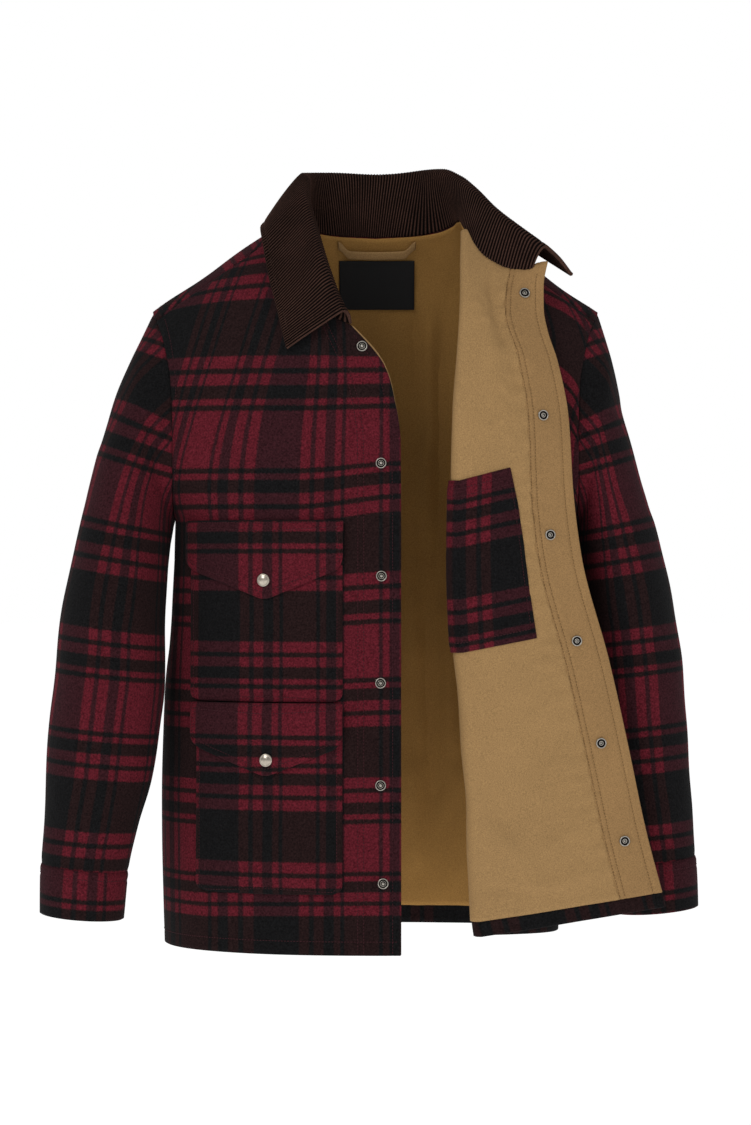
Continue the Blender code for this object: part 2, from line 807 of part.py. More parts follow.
def make_snap(name, place, outward, profile, material):
    """A turned snap whose foot stands on a place, facing outward."""
    outward = outward.normalized()
    side = outward.cross(Vector((0, 0, 1))).normalized()
    other = outward.cross(side)
    vertices = []
    for radius, height in profile:
        for k in range(SNAP_SIDES):
            angle = 2 * math.pi * k / SNAP_SIDES
            ring = side * math.cos(angle) + other * math.sin(angle)
            vertices.append(place + ring * radius + outward * (height + SNAP_LIFT))
    faces = []
    for level in range(len(profile) - 1):
        for k in range(SNAP_SIDES):
            a = level * SNAP_SIDES + k
            b = level * SNAP_SIDES + (k + 1) % SNAP_SIDES
            faces.append((a, b, b + SNAP_SIDES, a + SNAP_SIDES))
    faces.append(tuple(reversed(range(SNAP_SIDES))))
    top = (len(profile) - 1) * SNAP_SIDES
    faces.append(tuple(range(top, top + SNAP_SIDES)))
    return add_object(name, vertices, faces, material)


def surface_frame(surface, u, v, sign, step=0.002):
    along = surface(u + step, v) - surface(u - step, v)
    up = surface(u, v + step) - surface(u, v - step)
    return surface(u, v), along.cross(up).normalized() * sign


def off_coat(point):
    """The point itself, or moved out from the coat's shoulders where it lies too close."""
    nearest = None
    for phi in steps(-SHOULDER_REACH, SHOULDER_REACH, SHOULDER_TRIES):
        place = body_point(point.x, phi, "back")
        gap = (place - point).length
        if nearest is None or gap < nearest[0]:
            nearest = (gap, place, phi)
    _, place, phi = nearest
    along = body_point(point.x + 1, phi, "back") - body_point(point.x - 1, phi, "back")
    up = body_point(point.x, phi - 0.02, "back") - body_point(point.x, phi + 0.02, "back")
    outward = up.cross(along).normalized()
    height = (point - place).dot(outward)
    return point + outward * max(LEAF_CLEAR - height, 0)


def collar_line(line, s):
    return Vector([COLLAR.read(s, line + axis) for axis in "xyz"])


def make_collar(right_front_grid, back_grid, left_front_grid, material):
    """Folded collar on the neckline's own points, from the right front to the left."""
    rim = []
    rim_inward = []
    for grid, columns in (
        (right_front_grid, range(len(RIGHT_COLUMNS) - 1, RIGHT_NECK_COLUMN, -1)),
        (back_grid, range(BACK_NECK_FIRST, BACK_NECK_LAST + 1)),
        (left_front_grid, range(LEFT_NECK_FIRST, LEFT_NECK_LAST + 1)),
    ):
        for i in columns:
            rim.append(grid["points"][-1][i])
            rim_inward.append(grid["inward"][-1][i])
    base = []
    for i, (point, direction) in enumerate(zip(rim, rim_inward)):
        tangent = rim[min(i + 1, len(rim) - 1)] - rim[max(i - 1, 0)]
        base.append(point + direction.cross(tangent).normalized() * SEAM_GAP)
    turn = len(rim) - (LEFT_NECK_LAST - LEFT_NECK_FIRST) - 2
    rim_inward[turn] = (rim_inward[turn - 1] + rim_inward[turn + 1]).normalized()
    lengths = [0.0]
    for first, second in zip(base, base[1:]):
        lengths.append(lengths[-1] + (second - first).length)
    sections = []
    roll_outward = []
    for point, length in zip(base, lengths):
        s = length / lengths[-1]
        roll = collar_line("roll_", s)
        edge = collar_line("edge_", s)
        tangent = collar_line("roll_", min(s + ROLL_STEP, 1)) - collar_line("roll_", max(s - ROLL_STEP, 0))
        tangent = tangent.normalized()
        stand = roll - point
        stand = (stand - tangent * stand.dot(tangent)).normalized()
        out = stand.cross(tangent)
        section = [point]
        for share, bulge in STAND_BULGE:
            section.append(blend(point, roll, share) - out * bulge)
        leaf = edge - roll
        end = min(math.atan2(-leaf.dot(stand), leaf.dot(out)), math.pi / 2)
        radial = []
        for angle in steps(-math.pi / 2, end, ROLL_STEPS):
            radial.append(out * math.sin(angle) + stand * math.cos(angle))
            section.append(roll + radial[-1] * COLLAR_ROLL)
        roll_outward.append(radial)
        for k in range(1, 5):
            if section[k].x > NECK_POINT:
                section[k] = off_coat(section[k])
        foot = section[-1]
        section[-1] = off_coat(section[-1])
        section.append(off_coat(blend(foot, edge, 0.5) + stand * LEAF_BULGE))
        section.append(off_coat(edge))
        sections.append(section)
    rows = len(sections[0])
    points = [[section[j] for section in sections] for j in range(rows)]
    inward = []
    for j in range(rows):
        row = []
        for i in range(len(sections)):
            along = points[j][min(i + 1, len(sections) - 1)] - points[j][max(i - 1, 0)]
            up = points[min(j + 1, rows - 1)][i] - points[max(j - 1, 0)][i]
            row.append(along.cross(up).normalized() * -1)
        inward.append(row)
    first_roll_row = 1 + len(STAND_BULGE)
    for i, radial in enumerate(roll_outward):
        for k, direction in enumerate(radial):
            inward[first_roll_row + k][i] = -direction
    inward[0] = [-direction for direction in rim_inward]
    return wall("collar", {"points": points, "inward": inward}, 0, -COLLAR_WALL, material,
                turned=True)


def back_inside(x, z):
    """Point of the back and the direction to its inner side, by its place in the front view."""
    step = 0.5

    def at(x, z):
        return body_point(x, ridge_angle(x, z), "back")

    along = at(x + step, z) - at(x - step, z)
    up = at(x, z + step) - at(x, z - step)
    return at(x, z), along.cross(up).normalized()


def front_outside(x, z):
    """Point of the right front and its outward direction, by its place in the front view."""
    step = 0.5

    def at(x, z):
        return body_point(x, ridge_angle(x, z), "front")

    along = at(x + step, z) - at(x - step, z)
    up = at(x, z + step) - at(x, z - step)
    return at(x, z), along.cross(up).normalized()


def make_label(material):
    points = []
    inward = []
    for z in steps(LABEL["bottom"], LABEL["top"], 3):
        row = [back_inside(x, z) for x in steps(LABEL["left"], LABEL["right"], 4)]
        points.append([point for point, _ in row])
        inward.append([direction for _, direction in row])
    near = LINING_FAR + LABEL["lift"]
    return wall("label", {"points": points, "inward": inward}, near, near + LABEL["wall"], material,
                turned=True)


def make_hanger_loop(material):
    """A strip whose ends lie at the neck seam and whose middle stands off the lining."""
    points = []
    inward = []
    for across in (-0.5, 0.5):
        row = []
        row_in = []
        for a in steps(0, 1, 10):
            x = blend(LOOP["left"], LOOP["right"], a)
            swing = math.sin(math.pi * a)
            z = LOOP["top"] - LOOP["hang"] * swing ** 0.5 + LOOP["width"] * across
            point, direction = back_inside(x, z)
            row.append(point + direction * (LINING_FAR + LOOP["lift"] + LOOP["stand"] * swing))
            row_in.append(direction)
        points.append(row)
        inward.append(row_in)
    return wall("hanger_loop", {"points": points, "inward": inward}, 0, LOOP["wall"], material,
                turned=True)


def make_inner_pocket(material):
    """Patch pocket on the left front's lining, from the fold towards the facing."""
    fold_columns = [u for u in LEFT_COLUMNS if 1.5 <= u <= 2]
    points = []
    inward = []
    for share in steps(0, 1, 4):
        row = []
        row_in = []
        v_fold = blend(INNER_POCKET["bottom_v"], INNER_POCKET["top_v"], share)
        end_x = blend(INNER_POCKET["right_low"], INNER_POCKET["right_high"], share)
        fold_x, _ = fold_place(v_fold)
        seam_x = left_front(3, v_fold).x
        u_end = 2 + (end_x - fold_x) / (seam_x - fold_x)
        columns = fold_columns + steps(2, u_end, 4)[1:]
        rise = blend(INNER_POCKET["rise_low"], INNER_POCKET["rise_high"], share)
        for u in columns:
            v = v_fold + rise * max(u - 2, 0) / (u_end - 2)
            point, direction = surface_frame(left_front, u, v, 1)
            row.append(point)
            row_in.append(direction)
        points.append(row)
        inward.append(row_in)
    near = LINING_FAR + INNER_POCKET["lift"]
    return wall("inner_pocket", {"points": points, "inward": inward}, near,
                near + INNER_POCKET["wall"], material, turned=True)


def open_place(x, z):
    """Place (u, v) on the turned-back part of the left front for a point of the front view."""
    low, high = 0.0, 2.0
    for _ in range(40):
        v = (low + high) / 2
        seam_x = left_front(3, v).x
        edge_x = left_front(4, v).x
        u = 3 + (x - seam_x) / (edge_x - seam_x)
        if left_front(u, v).z < z:
            low = v
        else:
            high = v
    return u, v


def make_snaps(material):
    for number, (x, z) in enumerate(STUD_PLACES, start=1):
        place, outward = front_outside(x, z)
        make_snap("stud_%d" % number, place, outward, STUD_PROFILE, material)
    for number, (x, z) in enumerate(SOCKET_PLACES, start=1):
        u, v = open_place(x, z)
        place, outward = surface_frame(left_front, u, v, 1)
        lift = LINING_FAR + (FIRST_SOCKET_LIFT if number == 1 else 0)
        make_snap("socket_%d" % number, place + outward * lift, outward, SOCKET_PROFILE, material)
    for name, (x, z), lift in (
        ("chest_flap_cap", CHEST_CAP, CHEST_FLAP_FAR),
        ("lower_flap_cap", LOWER_CAP, LOWER_FLAP_FAR),
    ):
        place, outward = front_outside(x, z)
        make_snap(name, place + outward * lift, outward, CAP_PROFILE, material)


# Columns and rows that neighbouring pieces share
LOWER_ROWS = [0.0, HEM_BAND / (UNDERARM - HEM), 0.17, 0.34, 0.51, 0.68, 0.84, 1.0]
UPPER_STEPS = 8
BACK_UPPER_STEPS = 10
NEAR_TOP_ROW = 1.945
FIRST_UPPER_ROW = len(LOWER_ROWS) - 1
RIGHT_COLUMNS = [0, 0.06, 0.14, 0.23, 0.33, 0.46, 0.54, 0.62, 0.72, 0.81, 0.9, 1, 1.5, 2]
RIGHT_SEAM_COLUMN = RIGHT_COLUMNS.index(1)
RIGHT_NECK_COLUMN = RIGHT_COLUMNS.index(RIGHT_SHOULDER_SHARE)
BACK_HALF = [0, 0.04, 0.09, 0.15, 0.22, 0.29, 0.32, 0.355, 0.4, 0.45]
BACK_COLUMNS = BACK_HALF + [0.5] + [1 - u for u in reversed(BACK_HALF)]
BACK_NECK_FIRST = BACK_HALF.index(BACK_SHOULDER_SHARE)
BACK_NECK_LAST = len(BACK_COLUMNS) - 1 - BACK_NECK_FIRST
UNDER_STEPS = 6
FOLD_STEPS = 6
OVER_STEPS = 5
LEFT_COLUMNS = (
    [0, 0.1, 0.25, 0.42, 0.6, 0.8]
    + [1 + t for t in steps(0, 1, FOLD_STEPS)]
    + [2 + t for t in steps(0, 1, OVER_STEPS)[1:]]
    + [3.3, 3 + NOTCH, 4]
)
LEFT_SEAM_COLUMN = UNDER_STEPS + FOLD_STEPS + OVER_STEPS
LEFT_NECK_FIRST = UNDER_STEPS + FOLD_STEPS + 1
LEFT_NECK_LAST = LEFT_SEAM_COLUMN + 2


def build():
    for item in list(bpy.data.objects):
        bpy.data.objects.remove(item, do_unlink=True)

    wool = make_material("plaid_wool", (0.12, 0.02, 0.03), 0.95)
    cotton = make_material("tan_cotton", (0.39, 0.24, 0.10), 0.9)
    corduroy = make_material("brown_corduroy", (0.03, 0.014, 0.012), 0.9)
    dark_cloth = make_material("dark_label", (0.015, 0.015, 0.015), 0.7)
    metal = make_material("pewter_snap", (0.45, 0.42, 0.38), 0.35, 1.0)

    front_rows = LOWER_ROWS + steps(1, 2, UPPER_STEPS)[1:-1] + [NEAR_TOP_ROW, 2]
    back_rows = LOWER_ROWS + steps(1, 2, BACK_UPPER_STEPS)[1:]
    front_grid = make_grid(right_front, RIGHT_COLUMNS, front_rows, -1)
    back_grid = make_grid(back, BACK_COLUMNS, back_rows, 1)
    left_grid = make_grid(left_front, LEFT_COLUMNS, front_rows, 1)

    right = make_sleeve("right_sleeve", "right_cuff", front_grid, 0, back_grid, 0, RIGHT_SLEEVE)
    left = make_sleeve("left_sleeve", "left_cuff", left_grid, 0, back_grid,
                       len(BACK_COLUMNS) - 1, LEFT_SLEEVE)
    for name, tube, turned in right + left:
        wall(name, tube, 0, WOOL, wool, turned=turned, ring=True)

    wall("right_front", front_grid, 0, WOOL, wool)
    wall("back", back_grid, 0, WOOL, wool, turned=True)
    wall("left_front", left_grid, 0, WOOL, wool, turned=True)

    lined_rows = (1, len(front_rows) - 1)
    wall("back_lining", part_of(back_grid, rows=(1, len(back_rows) - 1)),
         LINING_NEAR, LINING_FAR, cotton, turned=True)
    facing = part_of(front_grid, (RIGHT_SEAM_COLUMN, len(RIGHT_COLUMNS) - 1), lined_rows)
    facing["points"] = [row[:-1] + [past_edge(row)] for row in facing["points"]]
    wall("right_front_facing", facing, LINING_NEAR, LINING_FAR, cotton)
    wall("left_front_lining", part_of(left_grid, (0, LEFT_SEAM_COLUMN), lined_rows),
         LINING_NEAR, LINING_FAR, cotton, turned=True)
    wall("left_front_facing",
         part_of(left_grid, (LEFT_SEAM_COLUMN, len(LEFT_COLUMNS) - 1), lined_rows),
         LINING_NEAR, LINING_FAR, cotton, turned=True)

    make_collar(front_grid, back_grid, left_grid, corduroy)

    make_pocket("chest_pocket", 0, RIGHT_COLUMNS, POCKET_LIFT, CHEST_POCKET_FAR, wool)
    make_flap("chest_flap", 0, RIGHT_COLUMNS, CHEST_POCKET_FAR + FLAP_LIFT, CHEST_FLAP_FAR, wool)
    make_pocket("lower_pocket", 1, RIGHT_COLUMNS, POCKET_LIFT, LOWER_POCKET_FAR, wool)
    make_flap("lower_flap", 1, RIGHT_COLUMNS, LOWER_POCKET_FAR + FLAP_LIFT, LOWER_FLAP_FAR, wool)

    make_inner_pocket(wool)
    make_hanger_loop(cotton)
    make_label(dark_cloth)
    make_snaps(metal)


if __name__ == "__main__":
    build()
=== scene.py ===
"""Looks of the insulated jacket: plaid wool, tan lining, corduroy collar, stitching and snaps.

The first half repeats the garment's surfaces, in millimetres, and samples them finely.
X runs to the viewer's right, the front faces -Y and Z is up.
"""

import math
import random
from functools import lru_cache

import bpy
import numpy as np
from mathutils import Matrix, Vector


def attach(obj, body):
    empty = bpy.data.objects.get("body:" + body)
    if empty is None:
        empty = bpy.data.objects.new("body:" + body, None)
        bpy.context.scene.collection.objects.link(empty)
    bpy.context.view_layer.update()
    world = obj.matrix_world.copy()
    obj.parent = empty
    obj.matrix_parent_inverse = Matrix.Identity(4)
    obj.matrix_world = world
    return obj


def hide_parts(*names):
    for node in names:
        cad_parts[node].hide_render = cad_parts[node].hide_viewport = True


MM = 0.001
# Walls and gaps
WOOL = 2.5
LINING = 1.0
LINING_NEAR = WOOL + 0.3
LINING_FAR = LINING_NEAR + LINING
COLLAR_WALL = 4.0
HEM_BAND = 16.0

# Body
UNDERARM = -303.0
SECTION_POWER = 2.3
RIDGE_ROUND = 190.0
SEAM_FORWARD = 14.0
NECK_POINT = 96.0
ARMHOLE_HALF_DEPTH = 72.0
ARMHOLE_WIDEST = -232.0
FACING_WIDTH = 45.0
FACING_WIDTH_TOP = 40.0
NECK_TURN = 91.0
FACING_TOP = (-66.0, -75.0)
EDGE_TOP = (-26.5, -101.0)
STRIP_TOP_DIP = 3.0
HEM_OPEN_SIDE = -742.0
HEM = -753.0

# Left front, turned back
FOLD_RADIUS = 6.0
FOLD_RADIUS_TOP = 2.5
FOLD_SHOW = LINING_FAR
FOLD_BOTTOM = -739.0
OPEN_BOTTOM = -709.5
OPEN_UNDERARM = -290.0
OPEN_TOP = -32.4
LAYER_BOW = 16.0
DIP_START = 1.55
NOTCH = 0.575
LAYER_EASE = 4.0
NECK_EASE = 0.04


class Table:
    """Rows of numbers under named columns, read smoothly at any value of the first column."""

    def __init__(self, names, *rows):
        self.names = names.split()
        self.rows = sorted(rows)
        self.keys = [row[0] for row in self.rows]

    def slope(self, index, column):
        """Slope at a row that never overshoots its neighbours."""
        last = len(self.rows) - 1
        steps = []
        for low in (index - 1, index):
            if 0 <= low < last:
                rise = self.rows[low + 1][column] - self.rows[low][column]
                steps.append(rise / (self.keys[low + 1] - self.keys[low]))
        if len(steps) == 1:
            return steps[0]
        if steps[0] * steps[1] <= 0:
            return 0.0
        return 2 * steps[0] * steps[1] / (steps[0] + steps[1])

    def read(self, key, name):
        column = self.names.index(name)
        if key <= self.keys[0]:
            return self.rows[0][column]
        if key >= self.keys[-1]:
            return self.rows[-1][column]
        index = max(i for i, start in enumerate(self.keys) if start <= key)
        width = self.keys[index + 1] - self.keys[index]
        t = (key - self.keys[index]) / width
        low = self.rows[index][column]
        high = self.rows[index + 1][column]
        low_slope = self.slope(index, column) * width
        high_slope = self.slope(index + 1, column) * width
        square = t * t
        cube = square * t
        return (
            low * (2 * cube - 3 * square + 1)
            + low_slope * (cube - 2 * square + t)
            + high * (3 * square - 2 * cube)
            + high_slope * (cube - square)
        )


# Half widths to each side and depths of the body at each height
BODY = Table(
    "z right left front open_front back",
    (-753, 226, 196, 138, 92, 152),
    (-640, 229, 199, 132, 94, 147),
    (-512, 228, 204, 127, 97, 140),
    (-400, 218, 209, 123, 100, 133),
    (-303, 215, 215, 120, 102, 128),
    (-200, 215, 215, 116, 104, 124),
    (-100, 215, 215, 108, 102, 118),
    (0, 215, 215, 100, 98, 112),
    (40, 215, 215, 96, 96, 108),
)
# Height of the shoulder ridge at each distance from the middle
RIDGE = Table(
    "x z",
    (0, 38), (60, 33), (93, 20), (119, 3), (180, -40), (238, -81), (262, -98),
)
# Distance of the armhole from the middle at each height
ARMHOLE = Table(
    "z x",
    (-303, 215), (-270, 214), (-220, 213.5), (-160, 216), (-125, 222), (-100, 229.5), (-81, 238),
    (0, 262), (40, 270),
)
# Free edge of the right front, and the seam of its facing
FRONT_EDGE = Table(
    "z x",
    (-753, 25.9), (-300, 25.9), (-223, 25.4), (-199, 23), (-184, 20), (-161, 15), (-142, 7.5),
    (-126, -4), (-101, -26.5),
)
FACING_SEAM = Table(
    "z x",
    (-753, -19), (-300, -19), (-223, -19.6), (-180, -25), (-140, -38), (-110, -52), (-75, -66),
)
# Neckline of the right front from the facing's seam up to the neck point
NECK_FRONT = Table("t x z", (0, -66, -75), (0.35, -79, -55), (0.7, -90, -27), (1, -96, 3))
# Back neckline
NECK_BACK = Table("x z", (0, 7), (43, 9), (70, 13), (85, 17.5), (91, 20), (96, 3))
# Visible line of the fold and free edge of the left front
FOLD_LINE = Table(
    "z x",
    (-740, 101), (-721, 98.4), (-660, 95.8), (-605, 94.2), (-548, 88.8), (-482, 84.7), (-442, 80.5),
    (-346, 77), (-200, 79.7), (-130, 84.4), (-50, 89), (4, 89.7),
)
OPEN_EDGE = Table(
    "z x y",
    (-709.5, 303.4, -76), (-626, 281.4, -80), (-536, 262, -84), (-451, 242.6, -87),
    (-344, 214, -89), (-274, 205, -88), (-196, 199.7, -84), (-140, 189, -78), (-107, 178.7, -73),
    (-84, 175, -69), (-58, 175.6, -65), (-32.4, 181, -62),
)
# How far the opened neckline dips below a straight line
NECK_DIP = Table(
    "t dip",
    (0, 0), (0.084, -14), (0.22, -23), (0.44, -26), (0.72, -20), (0.8, -15.4), (0.886, -6), (1, 0),
)
# Roll line and leaf edge of the collar along the neckline, from its left end in the view
COLLAR = Table(
    "s roll_x roll_y roll_z edge_x edge_y edge_z",
    (0.00, -36, -110, -92, -91, -107, -127),
    (0.08, -46, -101, -70, -96, -103, -108),
    (0.17, -58, -80, -34, -103, -94, -80),
    (0.26, -68, -52, 2, -112, -74, -44),
    (0.33, -77, -18, 40, -119, -41, -3),
    (0.40, -78, 20, 63, -120, 12, 12),
    (0.46, -60, 48, 68, -98, 66, 22),
    (0.536, 0, 66, 69, 0, 100, 18),
    (0.61, 50, 55, 71, 72, 88, 22),
    (0.69, 72, 38, 70, 104, 64, 14),
    (0.76, 89, 18, 61, 122, 36, 8),
    (0.82, 104, -5, 45, 137, 12, 4),
    (0.88, 122, -27, 24, 155, -10, -8),
    (0.94, 146, -47, 3, 181, -34, -28),
    (1.00, 176, -66, -22, 206, -52, -46),
)
COLLAR_ROLL = 4.5
LEAF_CLEAR = 4.0
STAND_BULGE = ((0.35, 2.4), (0.7, 4.0))
ROLL_STEP = 0.03
ROLL_STEPS = 4
LEAF_BULGE = 1.5
SHOULDER_REACH = 1.7
SHOULDER_TRIES = 68
# How far the facing's edge shows past the wool of the right front
FACING_SHOW = Table("z reach", (-235, 0), (-190, 0.8), (-150, 1.6), (-126, 3.6), (-101, 4.4))
# Sleeves: outer and inner edge of each ring in the front view, its middle and half depth in Y
RIGHT_SLEEVE = Table(
    "ring outer_x outer_z inner_x inner_z y depth",
    (1, -262, -133, -217.5, -317, -4, 74),
    (2, -284, -190, -220, -332, -14, 75),
    (3, -303, -262, -221.5, -357, -27, 75),
    (4, -318, -331, -221, -392, -40, 73),
    (5, -331, -398, -221, -430, -54, 70),
    (6, -336, -458, -221.5, -477, -64, 66),
    (7, -342, -510, -227, -528, -69, 62),
    (8, -345, -566, -236, -580, -72, 58),
    (9, -348, -616, -249, -626, -74, 53),
    (10, -350.5, -664, -260.5, -673, -75, 49),
    (11, -351.5, -715, -265, -722, -76, 47),
)
LEFT_SLEEVE = Table(
    "ring outer_x outer_z inner_x inner_z y depth",
    (1, 253, -133, 217.5, -317, 0, 72),
    (2, 267, -190, 219, -332, 2, 71),
    (3, 286, -262, 220, -357, 4, 69),
    (4, 306, -331, 220.5, -392, 6, 67),
    (5, 321, -398, 222, -430, 6, 64),
    (6, 330, -458, 225, -477, 6, 61),
    (7, 333, -510, 229, -526, 6, 58),
    (8, 337, -566, 235, -580, 6, 55),
    (9, 341, -616, 243, -626, 5, 51),
    (10, 344, -664, 252, -673, 4, 48),
    (11, 346, -717, 257, -725, 3, 46),
)
CUFF_RING = 10
LAST_RING = 11
# Pockets on the right front: left and right edge, top and bottom
POCKETS = Table(
    "pocket left right top bottom",
    (0, -192.5, -34.6, -322, -493),
    (1, -186, -34.8, -515, -691),
)
# Flaps: top, height of the straight sides and height at the point
FLAPS = Table(
    "flap left right top side tip point",
    (0, -195.5, -33.6, -306, -354, -387.7, -114.3),
    (1, -189, -34.2, -495.5, -538.5, -570.6, -112.5),
)
# Distances of the pockets and flaps from the front's outer side
CHEST_POCKET_FAR = 3.2
LOWER_POCKET_FAR = 4.9
# Flap caps, neck label, hanger loop and inner pocket
CHEST_CAP = (-114.2, -367.5)
LOWER_CAP = (-111, -553.5)
LABEL = {"left": -40, "right": 43, "bottom": -67, "top": -14.5, "lift": 1.8, "wall": 0.8}
LOOP = {
    "left": -41, "right": 44, "top": 1.5, "hang": 9, "width": 8, "lift": 1.8, "stand": 3,
    "wall": 1.2,
}
INNER_POCKET = {
    "bottom_v": 0.681, "top_v": 1.127, "right_low": 168, "right_high": 139,
    "rise_low": 0.012, "rise_high": 0.037, "lift": 0.7, "wall": 2.2,
}
STUD_PLACES = ((-14, -124.5), (5.7, -246), (6.1, -363), (5.2, -473.6), (5.2, -579), (7.8, -679.8))
SOCKET_PLACES = (
    (155.9, -67.9), (172.6, -196.2), (180.9, -320.3), (209, -430.8), (234.4, -537.4), (259.6, -640),
)


def signed_power(value, power):
    return math.copysign(abs(value) ** power, value)


def blend(low, high, t):
    return low * (1 - t) + high * t


def ridge_drop(phi):
    """Distance below the shoulder ridge for an angle over its round."""
    angle = abs(phi)
    if angle < math.pi / 2:
        return RIDGE_ROUND * (1 - math.cos(angle))
    return RIDGE_ROUND * (1 + angle - math.pi / 2)


def ridge_angle(x, z):
    drop = max(RIDGE.read(abs(x), "z") - z, 0.0)
    if drop < RIDGE_ROUND:
        return math.acos(1 - drop / RIDGE_ROUND)
    return math.pi / 2 + drop / RIDGE_ROUND - 1


SEAM_ANGLE = math.acos(1 - SEAM_FORWARD / RIDGE_ROUND)


def half_width(z, face, side):
    """Half width of the body's section; above the underarm it runs on past the armhole."""
    if z <= UNDERARM:
        return BODY.read(z, side)
    depth = ARMHOLE_HALF_DEPTH
    if z < ARMHOLE_WIDEST:
        fall = (ARMHOLE_WIDEST - z) / (ARMHOLE_WIDEST - UNDERARM)
        depth *= math.sqrt(max(1 - fall * fall, 0.0))
    share = 1 - (depth / BODY.read(z, face)) ** SECTION_POWER
    return ARMHOLE.read(z, "x") / share ** (1 / SECTION_POWER)


def body_point(x, phi, face):
    """Point of the body at a distance from the middle and an angle over the ridge."""
    z = RIDGE.read(abs(x), "z") - ridge_drop(phi)
    if face == "back" and phi < 0:
        face = "front" if x < 0 else "open_front"
    side = "left" if x > 0 else "right"
    ratio = min(abs(x) / half_width(z, face, side), 1.0)
    depth = BODY.read(z, face) * (1 - ratio ** SECTION_POWER) ** (1 / SECTION_POWER)
    lean = math.sin(min(abs(phi), math.pi / 2))
    toward = 1 if face == "back" else -1
    return Vector((x, toward * depth * lean, z))


def section_point(theta, z, face):
    """Point of the section at a height; theta is 0 at the right side seam and pi at the left."""
    across = signed_power(math.cos(theta), 2 / SECTION_POWER)
    side = "right" if across >= 0 or face == "front" else "left"
    x = -across * half_width(z, face, side)
    depth = BODY.read(z, face) * signed_power(math.sin(theta), 2 / SECTION_POWER)
    lean = math.sin(min(ridge_angle(x, z), math.pi / 2))
    toward = 1 if face == "back" else -1
    return Vector((x, toward * depth * lean, z))


def section_angle(x, z, face):
    """The angle at which the section reaches a distance from the middle."""
    side = "left" if x > 0 and face != "front" else "right"
    ratio = max(min(-x / half_width(z, face, side), 1.0), -1.0)
    return math.acos(signed_power(ratio, SECTION_POWER / 2))


def armhole_place(phi, sign):
    """Distance from the middle on the armhole at an angle over the ridge."""
    z = -100.0
    for _ in range(14):
        z = RIDGE.read(ARMHOLE.read(z, "x"), "z") - ridge_drop(phi)
    return sign * ARMHOLE.read(z, "x"), z


def patch(s, t, bottom, top, left, right):
    """Blend of four edge curves, each giving (x, phi)."""
    point = []
    for axis in (0, 1):
        sides = blend(left(t)[axis], right(t)[axis], s)
        ends = blend(bottom(s)[axis], top(s)[axis], t)
        corners = blend(
            blend(bottom(0)[axis], bottom(1)[axis], s),
            blend(top(0)[axis], top(1)[axis], s),
            t,
        )
        point.append(sides + ends - corners)
    return point


def underarm_angle():
    x = ARMHOLE.read(UNDERARM, "x")
    return ridge_angle(x, UNDERARM)


def armhole_edge(sign, end):
    """Edge curve up the armhole from the underarm to an angle over the ridge."""
    start = underarm_angle()

    def edge(t):
        lift = 1 - math.cos(t * math.pi / 2) if t < 1 else 1
        phi = blend(start, end, 0.55 * lift + 0.45 * t)
        x, _ = armhole_place(phi, sign)
        return x, phi

    return edge


RIGHT_SHOULDER_SHARE = 0.62


def right_front(u, v):
    """Right front: u 0 to 1 is the panel, 1 to 2 its facing strip; v 1 is the underarm."""
    face = "front"
    low = min(v, 1.0)
    edge_z = blend(HEM, UNDERARM, low)
    seam_theta = section_angle(FACING_SEAM.read(edge_z, "x"), edge_z, face)
    edge_theta = section_angle(FRONT_EDGE.read(edge_z, "x"), edge_z, face)
    s = u if u <= 1 else u - 1

    def lower(share):
        if u <= 1:
            return blend(0.0, seam_theta, share)
        return blend(seam_theta, edge_theta, share)

    if v <= 1:
        return section_point(lower(s), edge_z, face)

    def bottom(share):
        x = section_point(lower(share), UNDERARM, face).x
        return x, ridge_angle(x, UNDERARM)

    def seam(t):
        z = blend(UNDERARM, FACING_TOP[1], t)
        x = FACING_SEAM.read(z, "x")
        return x, ridge_angle(x, z)

    def edge(t):
        z = blend(UNDERARM, EDGE_TOP[1], t)
        x = FRONT_EDGE.read(z, "x")
        return x, ridge_angle(x, z)

    def shoulder_and_neck(share):
        if share <= RIGHT_SHOULDER_SHARE:
            x, _ = armhole_place(SEAM_ANGLE, -1)
            x = blend(x, -NECK_POINT, share / RIGHT_SHOULDER_SHARE)
            return x, SEAM_ANGLE
        down = 1 - (share - RIGHT_SHOULDER_SHARE) / (1 - RIGHT_SHOULDER_SHARE)
        x = NECK_FRONT.read(down, "x")
        z = NECK_FRONT.read(down, "z")
        return x, ridge_angle(x, z)

    def strip_top(share):
        x = blend(FACING_TOP[0], EDGE_TOP[0], share)
        z = blend(FACING_TOP[1], EDGE_TOP[1], share) - STRIP_TOP_DIP * math.sin(math.pi * share)
        return x, ridge_angle(x, z)

    t = v - 1
    if u <= 1:
        x, phi = patch(s, t, bottom, shoulder_and_neck, armhole_edge(-1, SEAM_ANGLE), seam)
    else:
        x, phi = patch(s, t, bottom, strip_top, seam, edge)
    return body_point(x, phi, face)


BACK_SHOULDER_SHARE = 0.29


def back_neck_angle(x):
    """Angle over the ridge of the back neckline; it turns to the front at the neck points."""
    reach = abs(x)
    if reach < NECK_TURN:
        return ridge_angle(x, NECK_BACK.read(reach, "z"))
    return -SEAM_ANGLE * (reach - NECK_TURN) / (NECK_POINT - NECK_TURN)


